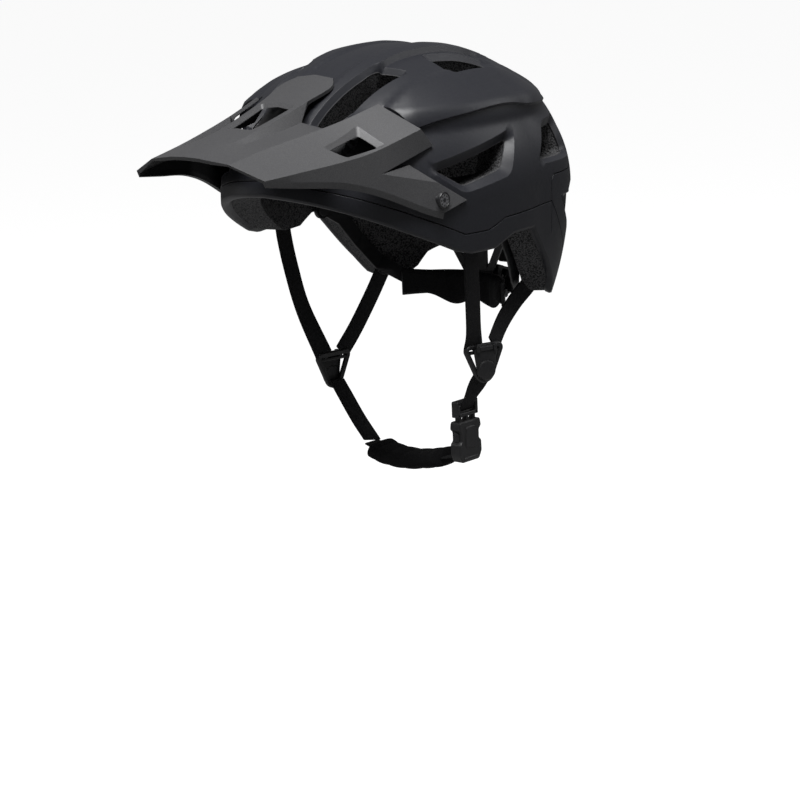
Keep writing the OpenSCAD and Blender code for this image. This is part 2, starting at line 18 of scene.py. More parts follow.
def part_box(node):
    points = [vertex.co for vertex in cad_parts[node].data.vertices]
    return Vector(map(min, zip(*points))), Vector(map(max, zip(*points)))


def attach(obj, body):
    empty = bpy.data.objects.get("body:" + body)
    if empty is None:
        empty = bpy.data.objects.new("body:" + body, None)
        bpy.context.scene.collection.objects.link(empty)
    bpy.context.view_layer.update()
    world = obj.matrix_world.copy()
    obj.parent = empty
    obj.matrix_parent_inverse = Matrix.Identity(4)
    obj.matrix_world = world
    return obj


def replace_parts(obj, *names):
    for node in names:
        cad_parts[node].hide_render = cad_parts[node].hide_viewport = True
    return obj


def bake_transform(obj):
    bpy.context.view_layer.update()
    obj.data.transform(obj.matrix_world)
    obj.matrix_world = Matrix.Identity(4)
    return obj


with open("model.json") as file:
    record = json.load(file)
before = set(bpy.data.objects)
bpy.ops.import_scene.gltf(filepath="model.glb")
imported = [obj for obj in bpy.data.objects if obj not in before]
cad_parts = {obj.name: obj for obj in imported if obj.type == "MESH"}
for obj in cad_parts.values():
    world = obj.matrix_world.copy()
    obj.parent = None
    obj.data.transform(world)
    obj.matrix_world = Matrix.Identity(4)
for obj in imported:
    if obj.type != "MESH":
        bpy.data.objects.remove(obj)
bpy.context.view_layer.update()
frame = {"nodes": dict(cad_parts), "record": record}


MM = 0.001
SIDES = {"left": 1, "right": -1}

# ---- camera, light and stage -------------------------------------------------------------------

CAMERA_AZIMUTH = 40.83
CAMERA_ELEVATION = 9.45
CAMERA_DISTANCE = 1960.0
CAMERA_ROLL = 2.4
CAMERA_LENS = 125.0
VIEW_CENTRE = (0.0, 16.0, -9.5)
FRAME_SHIFT = (-5.7, -111.3)


def make_camera():
    azimuth = math.radians(CAMERA_AZIMUTH)
    elevation = math.radians(CAMERA_ELEVATION)
    roll = math.radians(CAMERA_ROLL)
    back = Vector((math.sin(azimuth) * math.cos(elevation), -math.cos(azimuth) * math.cos(elevation),
                   math.sin(elevation)))
    side = Vector((0, 0, 1)).cross(back).normalized()
    up = back.cross(side)
    right = side * math.cos(roll) - up * math.sin(roll)
    top = side * math.sin(roll) + up * math.cos(roll)
    eye = Vector(VIEW_CENTRE) + back * CAMERA_DISTANCE
    target = Vector(VIEW_CENTRE) + right * FRAME_SHIFT[0] + top * FRAME_SHIFT[1]
    look = (eye - target).normalized()
    across = top.cross(look).normalized()
    data = bpy.data.cameras.new("main_camera")
    data.lens = CAMERA_LENS
    data.sensor_width = 36.0
    camera = bpy.data.objects.new("main_camera", data)
    bpy.context.scene.collection.objects.link(camera)
    turn = Matrix((across, look.cross(across), look)).transposed().to_4x4()
    camera.matrix_world = Matrix.Translation(eye * MM) @ turn
    bpy.context.scene.camera = camera


def make_light(name, place, size, power, aim=(0, 0, 0)):
    data = bpy.data.lights.new(name, "AREA")
    data.shape = "RECTANGLE"
    data.size = size[0]
    data.size_y = size[1]
    data.energy = power
    light = bpy.data.objects.new(name, data)
    bpy.context.scene.collection.objects.link(light)
    light.location = place
    light.rotation_euler = (Vector(aim) - Vector(place)).to_track_quat("-Z", "Y").to_euler()


BACKDROP_LEVEL = 1.0
ROOM_LEVEL = 0.17
FLOOR_GLOW = 0.9
FLOOR_GREY = 0.25


def make_stage():
    scene = bpy.context.scene
    scene.view_settings.view_transform = "Standard"
    world = bpy.data.worlds.new("studio")
    scene.world = world
    world.use_nodes = True
    background = world.node_tree.nodes["Background"]
    background.inputs["Color"].default_value = (1, 1, 1, 1)
    rays = world.node_tree.nodes.new("ShaderNodeLightPath")
    strength = world.node_tree.nodes.new("ShaderNodeMath")
    strength.operation = "MULTIPLY_ADD"
    strength.inputs[1].default_value = BACKDROP_LEVEL - ROOM_LEVEL
    strength.inputs[2].default_value = ROOM_LEVEL
    world.node_tree.links.new(rays.outputs["Is Camera Ray"], strength.inputs[0])
    world.node_tree.links.new(strength.outputs["Value"], background.inputs["Strength"])
    bpy.ops.mesh.primitive_plane_add(size=60, location=(0, 0, -0.55))
    floor = bpy.context.object
    floor.name = "floor"
    paint = surface("floor_paint", (FLOOR_GREY,) * 3, 0.9)
    shader = paint.node_tree.nodes["Principled BSDF"]
    shader.inputs["Emission Color"].default_value = (1, 1, 1, 1)
    seen = add_node(paint, "ShaderNodeLightPath")
    glow = add_node(paint, "ShaderNodeMath", operation="MULTIPLY")
    glow.inputs[1].default_value = FLOOR_GLOW
    link(paint, seen.outputs["Is Camera Ray"], glow.inputs[0])
    link(paint, glow.outputs["Value"], shader.inputs["Emission Strength"])
    floor.data.materials.append(paint)
    make_light("key", (0.5, -0.7, 2.2), (1.3, 1.1), 130)
    make_light("fill", (-1.9, -1.0, 0.9), (1.2, 1.6), 8)
    make_light("back", (1.2, 1.6, 1.2), (1.0, 1.0), 10)


# ---- materials ---------------------------------------------------------------------------------

def link(material, output, target):
    material.node_tree.links.new(output, target)


def add_node(material, kind, **values):
    node = material.node_tree.nodes.new(kind)
    for name, value in values.items():
        if hasattr(node, name):
            setattr(node, name, value)
        else:
            node.inputs[name].default_value = value
    return node


def surface(name, colour, roughness, metallic=0.0, edge=0.0, shine=0.25):
    """A plain shader; edge rounds the corners of the mesh by that many millimetres in the light."""
    material = bpy.data.materials.new(name)
    material.use_nodes = True
    shader = material.node_tree.nodes["Principled BSDF"]
    shader.inputs["Base Color"].default_value = (*colour, 1)
    shader.inputs["Roughness"].default_value = roughness
    shader.inputs["Metallic"].default_value = metallic
    shader.inputs["Specular IOR Level"].default_value = shine
    if edge:
        bevel = add_node(material, "ShaderNodeBevel", samples=4)
        bevel.inputs["Radius"].default_value = edge * MM
        link(material, bevel.outputs["Normal"], shader.inputs["Normal"])
    return material


def grain(material, scale, low, high, bump, kind="ShaderNodeTexNoise", output=0, detail=3.0):
    """Vary colour between low and high with a texture of scale per metre, and raise it by bump mm."""
    shader = material.node_tree.nodes["Principled BSDF"]
    place = add_node(material, "ShaderNodeTexCoord")
    texture = add_node(material, kind, Scale=scale)
    if kind == "ShaderNodeTexNoise":
        texture.inputs["Detail"].default_value = detail
    link(material, place.outputs["Object"], texture.inputs["Vector"])
    ramp = add_node(material, "ShaderNodeValToRGB")
    ramp.color_ramp.elements[0].position = 0.35
    ramp.color_ramp.elements[1].position = 0.7
    ramp.color_ramp.elements[0].color = (*low, 1)
    ramp.color_ramp.elements[1].color = (*high, 1)
    link(material, texture.outputs[output], ramp.inputs["Fac"])
    link(material, ramp.outputs["Color"], shader.inputs["Base Color"])
    lift = add_node(material, "ShaderNodeBump", Strength=1.0)
    lift.inputs["Distance"].default_value = bump * MM
    link(material, texture.outputs[output], lift.inputs["Height"])
    rounded_edges = shader.inputs["Normal"].links
    if rounded_edges:
        link(material, rounded_edges[0].from_socket, lift.inputs["Normal"])
    link(material, lift.outputs["Normal"], shader.inputs["Normal"])
    return material


def make_materials():
    looks = {}
    shell = surface("shell_satin", (0.010, 0.0105, 0.014), 0.44, edge=0.5, shine=0.3)
    looks["shell"] = grain(shell, 700, (0.009, 0.0095, 0.0125), (0.012, 0.0125, 0.0155), 0.02)
    visor = surface("visor_gunmetal", (0.04, 0.04, 0.042), 0.48, 0.15, edge=0.4, shine=0.45)
    looks["visor"] = grain(visor, 1500, (0.030, 0.030, 0.032), (0.048, 0.048, 0.050), 0.03)
    # Painted shade: the visor's underside gets a much darker copy of the visor's own finish, standing in for the
    # shadow beneath it.
    under = surface("visor_under_painted_shade", (0.005, 0.005, 0.0055), 0.75, shine=0.12)
    looks["visor_under_painted_shade"] = grain(under, 900, (0.004, 0.004, 0.0045), (0.006, 0.006, 0.0065), 0.03)
    foam = surface("foam_beads", (0.006, 0.006, 0.0065), 0.85, shine=0.2)
    looks["foam"] = grain(foam, 900, (0.07, 0.07, 0.072), (0.006, 0.006, 0.0065), -0.25,
                          "ShaderNodeTexVoronoi", "Distance")
    web = surface("webbing_weave", (0.006, 0.006, 0.0065), 0.85, shine=0.2)
    looks["webbing"] = grain(web, 1500, (0.003, 0.003, 0.0035), (0.012, 0.012, 0.013), 0.2,
                             "ShaderNodeTexVoronoi", "Distance")
    pad = surface("pad_cloth", (0.005, 0.005, 0.0055), 0.95, shine=0.12)
    looks["padding"] = grain(pad, 1600, (0.003, 0.003, 0.0035), (0.009, 0.009, 0.0095), 0.2)
    hard = surface("moulded_black", (0.008, 0.008, 0.009), 0.45, edge=0.35, shine=0.4)
    looks["hardware"] = grain(hard, 900, (0.007, 0.007, 0.008), (0.010, 0.010, 0.011), 0.02)
    edge = surface("edge_trim", (0.03, 0.03, 0.032), 0.55)
    looks["edge"] = grain(edge, 800, (0.022, 0.022, 0.024), (0.04, 0.04, 0.042), 0.02)
    screw = surface("screw_black", (0.010, 0.010, 0.011), 0.35, edge=0.15, shine=0.45)
    looks["screw"] = grain(screw, 900, (0.009, 0.009, 0.010), (0.013, 0.013, 0.014), 0.01)
    silver = surface("screw_marks", (0.2, 0.2, 0.21), 0.35, 0.7)
    looks["silver"] = grain(silver, 900, (0.16, 0.16, 0.17), (0.24, 0.24, 0.25), 0.01)
    brass = surface("insert_brass", (0.5, 0.4, 0.2), 0.4, 0.9)
    looks["insert"] = grain(brass, 900, (0.45, 0.36, 0.18), (0.56, 0.46, 0.24), 0.02)
    elastic = surface("cord_elastic", (0.007, 0.007, 0.008), 0.7, shine=0.25)
    looks["elastic"] = grain(elastic, 1800, (0.004, 0.004, 0.005), (0.013, 0.013, 0.014), 0.15)
    return looks


# ---- mesh tools --------------------------------------------------------------------------------

def piece(name, body, parts, material, sharp=35, extra=()):
    """Join parts, each (points, faces) in millimetres, into one object that rides on body, if given."""
    points, faces = joined(parts)
    mesh = bpy.data.meshes.new(name)
    mesh.from_pydata((np.asarray(points) * MM).tolist(), [], faces)
    mesh.validate()
    mesh.materials.append(looks[material])
    for other in extra:
        mesh.materials.append(looks[other])
    made = bpy.data.objects.new(name, mesh)
    bpy.context.scene.collection.objects.link(made)
    smooth_shading(mesh, sharp)
    if body:
        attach(made, body)
    return made


def smooth_shading(mesh, sharp):
    for polygon in mesh.polygons:
        polygon.use_smooth = True
    mesh.set_sharp_from_angle(angle=math.radians(sharp))


def joined(parts):
    points = []
    faces = []
    for part_points, part_faces in parts:
        start = len(points)
        points.extend([tuple(p) for p in part_points])
        faces.extend([[start + int(i) for i in f] for f in part_faces])
    return points, faces


def moved(part, shift=(0, 0, 0), turn=None):
    points = np.asarray(part[0], float)
    if turn is not None:
        points = points @ np.asarray(turn.to_3x3()).T
    return points + np.asarray(shift), part[1]


def mirrored(part):
    points = np.asarray(part[0], float) * (-1, 1, 1)
    return points, [list(reversed(f)) for f in part[1]]


def from_bmesh(bm):
    bm.verts.index_update()
    part = ([tuple(v.co) for v in bm.verts], [[v.index for v in f.verts] for f in bm.faces])
    bm.free()
    return part


def block(size, centre=(0, 0, 0), edge=0.8, steps=3):
    """Box with rounded edges."""
    bm = bmesh.new()
    bmesh.ops.create_cube(bm, size=1)
    for vertex in bm.verts:
        vertex.co = Vector((vertex.co.x * size[0], vertex.co.y * size[1], vertex.co.z * size[2]))
        vertex.co += Vector(centre)
    bmesh.ops.bevel(bm, geom=bm.edges[:], offset=edge, segments=steps, profile=0.5, affect="EDGES")
    return from_bmesh(bm)


def lathe(profile, around=48):
    """Surface of revolution about +Z through (radius, height) points."""
    points = []
    for radius, height in profile:
        for k in range(around):
            a = 2 * math.pi * k / around
            points.append((radius * math.cos(a), radius * math.sin(a), height))
    faces = []
    for i in range(len(profile) - 1):
        for k in range(around):
            m = (k + 1) % around
            faces.append([i * around + k, i * around + m, (i + 1) * around + m, (i + 1) * around + k])
    return points, faces


def grid_faces(rows, cols, ring=False):
    """Quads of a grid of rows x cols points; ring closes each row."""
    faces = []
    for i in range(rows - 1):
        for j in range(cols if ring else cols - 1):
            m = (j + 1) % cols
            faces.append([i * cols + j, i * cols + m, (i + 1) * cols + m, (i + 1) * cols + j])
    return faces


def curve_through(points, steps):
    """Smooth curve through points, with steps stretches between neighbours."""
    p = np.asarray(points, float)
    ends = np.vstack([2 * p[0] - p[1], p, 2 * p[-1] - p[-2]])
    out = []
    for i in range(len(p) - 1):
        a, b, c, d = ends[i:i + 4]
        for k in range(steps):
            t = k / steps
            out.append(0.5 * (2 * b + (c - a) * t + (2 * a - 5 * b + 4 * c - d) * t ** 2
                              + (3 * b - a - 3 * c + d) * t ** 3))
    out.append(p[-1])
    return np.array(out)


def tube(path, radius, sides=10, closed=False):
    """Round tube along a path."""
    path = np.asarray(path, float)
    count = len(path)
    points = []
    reference = None
    for i in range(count):
        after = path[(i + 1) % count] if closed else path[min(i + 1, count - 1)]
        before = path[(i - 1) % count] if closed else path[max(i - 1, 0)]
        along = (after - before) / max(np.linalg.norm(after - before), 1e-9)
        if reference is None:
            reference = np.cross(along, (0.3, 0.5, 0.81))
        reference = reference - along * np.dot(reference, along)
        reference /= np.linalg.norm(reference)
        other = np.cross(along, reference)
        for k in range(sides):
            a = 2 * math.pi * k / sides
            points.append(path[i] + radius * (reference * math.cos(a) + other * math.sin(a)))
    faces = grid_faces(count, sides, ring=True)
    if closed:
        last = (count - 1) * sides
        faces += [[last + k, last + (k + 1) % sides, (k + 1) % sides, k] for k in range(sides)]
    else:
        faces += [list(range(sides))[::-1], [(count - 1) * sides + k for k in range(sides)]]
    return points, faces


def rounded(corners, radius, spacing=2.5):
    """Closed outline with its corners rounded, as points spacing apart."""
    c = np.asarray(corners, float)
    out = []
    for i in range(len(c)):
        before, here, after = c[i - 1], c[i], c[(i + 1) % len(c)]
        cut_in = min(radius, 0.45 * np.linalg.norm(here - before))
        cut_out = min(radius, 0.45 * np.linalg.norm(after - here))
        start = here + (before - here) / np.linalg.norm(before - here) * cut_in
        end = here + (after - here) / np.linalg.norm(after - here) * cut_out
        if out:
            out.extend(between(out[-1], start, spacing))
        for t in np.linspace(0, 1, 6):
            out.append((1 - t) ** 2 * start + 2 * t * (1 - t) * here + t ** 2 * end)
    out.extend(between(out[-1], out[0], spacing))
    return np.array(out)


def between(a, b, spacing):
    """Points between a and b, spacing apart, without the two ends."""
    steps = max(1, int(np.linalg.norm(np.asarray(b) - a) / spacing))
    return [a + (b - a) * k / steps for k in range(1, steps)]


def dense(line, spacing=2.0):
    """Open line with points spacing apart."""
    line = np.asarray(line, float)
    out = [line[0]]
    for a, b in zip(line[:-1], line[1:]):
        out.extend(between(a, b, spacing))
        out.append(b)
    return np.array(out)


def spread(corners, margin):
    """Closed outline with every side moved outwards by margin."""
    c = np.asarray(corners, float)
    turn = np.sum(c[:, 0] * np.roll(c[:, 1], -1) - c[:, 1] * np.roll(c[:, 0], -1))
    way = 1 if turn > 0 else -1
    out = []
    for i in range(len(c)):
        a = (c[i] - c[i - 1]) / np.linalg.norm(c[i] - c[i - 1])
        b = (c[(i + 1) % len(c)] - c[i]) / np.linalg.norm(c[(i + 1) % len(c)] - c[i])
        out_a = np.array([a[1], -a[0]]) * way
        out_b = np.array([b[1], -b[0]]) * way
        out.append(c[i] + margin * (out_a + out_b) / (1 + np.dot(out_a, out_b)))
    return np.array(out)


def inside(outline, places):
    """Which of the places lie inside a closed outline."""
    x, y = places[:, 0], places[:, 1]
    hit = np.zeros(len(places), bool)
    for (x0, y0), (x1, y1) in zip(outline, np.roll(outline, -1, axis=0)):
        if y0 == y1:
            continue
        crosses = (y0 > y) != (y1 > y)
        hit ^= crosses & (x < (x1 - x0) * (y - y0) / (y1 - y0) + x0)
    return hit


def distance_to(lines, places):
    """Distance of each place from the nearest of some lines."""
    samples = np.vstack([dense(line, 0.3) for line in lines])
    tree = KDTree(len(samples))
    for i, (x, y) in enumerate(samples):
        tree.insert((x, y, 0), i)
    tree.balance()
    return np.array([tree.find((x, y, 0))[2] for x, y in places])


# ---- dome surface ------------------------------------------------------------------------------

HALF_WIDTH = 107.5
FRONT = 138.0
REAR = 129.0
RISE = 101.0
BELT_Y = 6.0
BELT_Z = 30.0
TAPER_SIDE = 0.0016
TAPER_FRONT = 0.0008
TAPER_REAR = 0.0035
TAIL_SWELL = 11.0
SWELL_START = 68.0
SWELL_FULL = 96.0
SWELL_FADE = 108.0
REAR_CORNER = 0.055
CORNER_START = 0.42
FLANK_HEIGHTS = (30.0, 62.0, 81.0, 96.0, 131.0)
FLANK_FULLNESS = (0.0, 0.02, 0.03, 0.14, 0.14)
FADE_FRONT = (35.0, 60.0)
FADE_REAR = (20.0, 45.0)
UNROLL = 1.5
BELOW = 160.0
SHELL_T = 1.2
FOAM_T = 28.0


def ramp(value, start, end):
    return np.clip((np.asarray(value, float) - start) / (end - start), 0, 1)


def swell(z):
    return TAIL_SWELL * ramp(z, SWELL_START, SWELL_FULL) * (1 - ramp(z, SWELL_FADE, BELT_Z + RISE))


def fullness(angle, z):
    """How much further out the shell is than the plain dome, as a share of its reach."""
    share = ramp(np.abs(np.sin(2 * angle)), CORNER_START, 1)
    behind = np.sin(angle) > 0
    rounded_corner = np.where(behind, REAR_CORNER * share * share * (3 - 2 * share), 0)
    off = np.degrees(np.arccos(np.clip(np.abs(np.cos(angle)), 0, 1)))
    side = 1 - np.where(behind, ramp(off, *FADE_REAR), ramp(off, *FADE_FRONT))
    return rounded_corner + side * np.interp(z, FLANK_HEIGHTS, FLANK_FULLNESS)


def unroll(turn, angle):
    """Place on the flat plan of a dome point: turn is 0 at the crown and 1 at the belt."""
    reach = np.where(np.sin(angle) < 0, FRONT, REAR)
    return np.stack([turn * UNROLL * HALF_WIDTH * np.cos(angle), turn * UNROLL * reach * np.sin(angle)],
                    axis=-1)


def roll_up(flat):
    """Turn and angle of a place on the flat plan."""
    across = flat[:, 0] / (HALF_WIDTH * UNROLL)
    along = flat[:, 1] / (np.where(flat[:, 1] < 0, FRONT, REAR) * UNROLL)
    return np.hypot(across, along), np.arctan2(along, across)


def dome(flat, grow=0.0, slim=1.0):
    """Points of the dome; grow moves it out, and slim 0 gives the untapered cavity."""
    turn, angle = roll_up(flat)
    arc = np.minimum(turn, 1) * math.pi / 2
    z = BELT_Z + (RISE + grow) * np.cos(arc) - BELOW * np.maximum(turn - 1, 0)
    drop = np.maximum(BELT_Z - z, 0)
    front = FRONT - slim * TAPER_FRONT * drop ** 2
    rear = REAR - slim * TAPER_REAR * drop ** 2
    reach = np.where(flat[:, 1] < 0, front, rear) + grow
    half = HALF_WIDTH - slim * TAPER_SIDE * drop ** 2 + grow
    full = np.sin(arc) * (1 + slim * fullness(angle, z))
    x = half * full * np.cos(angle)
    y = BELT_Y + reach * full * np.sin(angle)
    y = y + slim * swell(z) * np.maximum(np.sin(angle), 0) ** 3
    return np.stack([x, y, z], axis=-1)


def dome_normal(flat):
    step = 0.5
    along_u = dome(flat + (step, 0)) - dome(flat - (step, 0))
    along_v = dome(flat + (0, step)) - dome(flat - (0, step))
    normal = np.cross(along_u, along_v)
    return normal / np.linalg.norm(normal, axis=1)[:, None]


def turn_at(z):
    upper = np.arccos(np.clip((z - BELT_Z) / RISE, -1, 1)) / (math.pi / 2)
    return np.where(z > BELT_Z, upper, 1 + (BELT_Z - z) / BELOW)


def from_side(points, side=1):
    """Flat places of side-view points (y, z)."""
    y, z = np.asarray(points, float).T
    turn = turn_at(z)
    drop = np.maximum(BELT_Z - z, 0)
    reach = np.where(y < BELT_Y, FRONT - TAPER_FRONT * drop ** 2, REAR - TAPER_REAR * drop ** 2)
    reach = reach * np.sin(np.minimum(turn, 1) * math.pi / 2)
    sine = np.zeros_like(y)
    for _ in range(12):
        full = reach * (1 + fullness(np.arcsin(sine), z))
        sine = np.clip((y - BELT_Y - swell(z) * np.maximum(sine, 0) ** 3) / full, -1, 1)
    return unroll(turn, np.arcsin(sine)) * (side, 1)


def from_back(points, front=False):
    """Flat places of rear-view points (x, z), or of front-view ones."""
    x, z = np.asarray(points, float).T
    turn = turn_at(z)
    half = HALF_WIDTH - TAPER_SIDE * np.maximum(BELT_Z - z, 0) ** 2
    cosine = np.zeros_like(x)
    for _ in range(12):
        full = half * (1 + fullness(np.arccos(cosine) * (-1 if front else 1), z))
        cosine = np.clip(x / (full * np.sin(np.minimum(turn, 1) * math.pi / 2)), -1, 1)
    angle = np.arccos(cosine)
    return unroll(turn, -angle if front else angle)


def from_above(points):
    """Flat places of plan points (x, y)."""
    x, y = np.asarray(points, float).T
    reach = np.where(y < BELT_Y, FRONT, REAR)
    across = x / HALF_WIDTH
    along = (y - BELT_Y) / reach
    for _ in range(12):
        radius = np.minimum(np.hypot(across, along), 0.999)
        z = BELT_Z + RISE * np.sqrt(1 - radius ** 2)
        full = 1 + fullness(np.arctan2(along, across), z)
        across = x / (HALF_WIDTH * full)
        along = (y - BELT_Y - swell(z) * np.maximum(along / np.maximum(radius, 1e-6), 0) ** 3) / (reach * full)
    radius = np.minimum(np.hypot(across, along), 0.999)
    return unroll(np.arcsin(radius) / (math.pi / 2), np.arctan2(along, across))


# ---- outlines of the shells --------------------------------------------------------------------

RIM = [(-131, 45), (-82, 20), (-47, 3), (-35, 0), (-14, 0.5), (3, 8), (12, 8.5), (28, 8.5), (61, -33),
       (68, -44), (72, -46.5), (88, -46.5), (97, -41), (107, -31), (114, -27), (124, -26.5)]
SEAM = [(-131, 54.5), (-89, 35), (-41, 12), (-21, 12.5), (-5, 19), (51, 22), (77, -17), (82, -27),
        (103, -28), (108, -19), (125, -16)]
PANEL_SIDE = [(51, 0), (51, 37), (54, 40), (105, 40)]
PANEL_BACK = [(60, 40), (57, 47), (49, 68), (42, 86), (36, 93), (0, 95)]
SHOULDER = [(-63, 84), (-26, 90.4), (12, 92.8), (45, 89), (80, 87.5)]
SHOULDER_BACK = [(46, 92.7), (0, 97)]


def both_sides(line):
    """Closed loop from a side-view line and its mirror image."""
    half = dense(line)
    left = from_side(half)
    left[0, 0] = 0
    left[-1, 0] = 0
    right = left[1:-1][::-1] * (-1, 1)
    return np.vstack([left, right])


def panel_outline():
    side = from_side(dense(PANEL_SIDE))
    back = from_back(dense(PANEL_BACK))
    half = np.vstack([side, back])
    return np.vstack([half, half[:-1][::-1] * (-1, 1)])


def shoulder_line():
    side = from_side(SHOULDER)
    back = from_back(SHOULDER_BACK)
    return curve_through(np.vstack([side, back]), 10)


class Opening:
    """Vent: its opening and the wider outline of the slope round it, both on the flat plan."""

    def __init__(self, place, corners, outer, depth, radius=4):
        self.hole = place(rounded(corners, radius))
        self.slope = place(rounded(outer, radius + 2))
        self.depth = depth


def make_openings():
    found = []
    for side in (1, -1):
        def at_side(points, side=side):
            return from_side(points, side)

        def above(points, side=side):
            return from_above(points * (side, 1))

        found.append(Opening(at_side, [(-58, 57), (10, 72), (-3, 52), (-39, 44)],
                             [(-67, 60), (18, 78), (2, 47), (-41, 39.5)], 5.0))
        found.append(Opening(at_side, [(43, 52), (55, 73.5), (88, 74), (94, 51)],
                             [(36, 49), (54, 77), (91, 77.5), (99, 48)], 4.0, 5))
        found.append(Opening(at_side, [(68, 22), (103, 19), (104, -3), (86, -1)],
                             spread([(68, 22), (103, 19), (104, -3), (86, -1)], 2.5), 3.0))
        found.append(Opening(above, np.array([(31, -42), (47, -36), (36, -104), (25, -104)]),
                             spread([(31, -42), (47, -36), (36, -104), (25, -104)], 3), 3.5))
        top = [(38, 0), (62, -2), (59, 46), (44, 57)]
        found.append(Opening(above, np.array(top), spread(top, 4.5), 4.0))
    upper = [(-29, 80), (29, 80), (33, 57), (-33, 57)]
    lower = [(-31, 24), (31, 24), (27, 1), (-27, 1)]
    found.append(Opening(from_back, upper, spread(upper, 3), 3.5))
    found.append(Opening(from_back, lower, spread(lower, 4), 4.0))
    brow = [(-11, 84), (11, 84), (9, 66), (-9, 66)]
    found.append(Opening(lambda p: from_back(p, True), brow, spread(brow, 1.5), 2.0, 2))
    return found


# ---- relief of the shell -----------------------------------------------------------------------

RIB_LINES = (14.0, 17.0, 30.0, 32.5, 58.0, 63.0)
RIB_LIFTS = (0.0, 2.0, 2.0, -2.0, -2.0, 0.0)
ARC = 180.0
VISOR_SEAT = [(-210, 120), (-71, 120), (-71, 101), (-66, 85), (-56, 72.5), (-100, 59.5), (-77, 62.5),
              (-59.5, 49), (-42, 35.5), (-60, 31), (-72, 37), (-104, 52), (-130, 60),
              (-210, 66)]
SEAT_REAR = VISOR_SEAT[2:9]
SEAT_INNER = (55.0, -72.0, 0.19)
SEAT_DEPTH = 4.5
SEAT_STEP = 1.5
GROOVE = 1.1
GROOVE_HALF = 0.55


def relief(flat):
    """Height of the shell's outer face over the plain dome."""
    turn, angle = roll_up(flat)
    folded = np.abs(np.arctan2(np.sin(angle), np.abs(np.cos(angle)))) * np.sign(np.sin(angle))
    edge_turn, edge_angle = roll_up(shoulder_line())
    edge = np.interp(folded, edge_angle, edge_turn)
    place = dome(flat)
    rise = (edge - turn) * ARC
    crown = np.interp(np.abs(place[:, 0]), RIB_LINES, RIB_LIFTS)
    fade = 1 - ramp(place[:, 1], 52, 88)
    near = 1 - ramp(rise, 2, 20)
    tail = ramp(folded, math.radians(40), math.radians(75))
    above = crown * fade * (1 - near) + near * (1.4 + 1.2 * tail)
    share = ramp(rise, -1.2, 0.6)
    lift = above * share - 0.7 * (1 - share)
    back = ramp(np.sin(folded), 0.55, 0.95)
    ledge = ramp(28 - place[:, 2], 0, 3) * (1 - 0.5 * ramp(28 - place[:, 2], 3, 60))
    side_view = place[:, 1:]
    seat = np.where(inside(VISOR_SEAT, side_view), distance_to([closed_line(VISOR_SEAT)], side_view), 0)
    across, along, lean = SEAT_INNER
    inward = np.abs(place[:, 0]) - across - lean * (place[:, 1] - along)
    covered = ramp(seat, 0, SEAT_STEP) * ramp(inward, 0, SEAT_STEP)
    return lift - 6.0 * back * ledge - SEAT_DEPTH * covered


def feature_lines():
    """Lines of the relief that the mesh has to follow."""
    lines = []
    shoulder = shoulder_line()
    turn, angle = roll_up(shoulder)
    for shift in (-0.6, 1.2):
        half = unroll(turn + shift / ARC, angle)
        for side in (1, -1):
            lines.append(half * (side, 1))
    for x in RIB_LINES:
        for side in (1, -1):
            lines.append(from_above(dense([(side * x, -100), (side * x, 60)], 4)))
    for side in (1, -1):
        edge = from_side(dense(SEAT_REAR), side)
        lines.append(edge)
        lines.append(offset_line(edge, side * SEAT_STEP, False))
    for z in (28, 25):
        lines.append(from_back(dense([(-80, z), (80, z)], 4)))
    return lines


def offset_line(line, distance, closed):
    line = np.asarray(line)
    ahead = np.roll(line, -1, axis=0) if closed else np.vstack([line[1:], line[-1:]])
    behind = np.roll(line, 1, axis=0) if closed else np.vstack([line[:1], line[:-1]])
    along = ahead - behind
    along /= np.linalg.norm(along, axis=1)[:, None]
    return line + distance * np.stack([along[:, 1], -along[:, 0]], axis=-1)


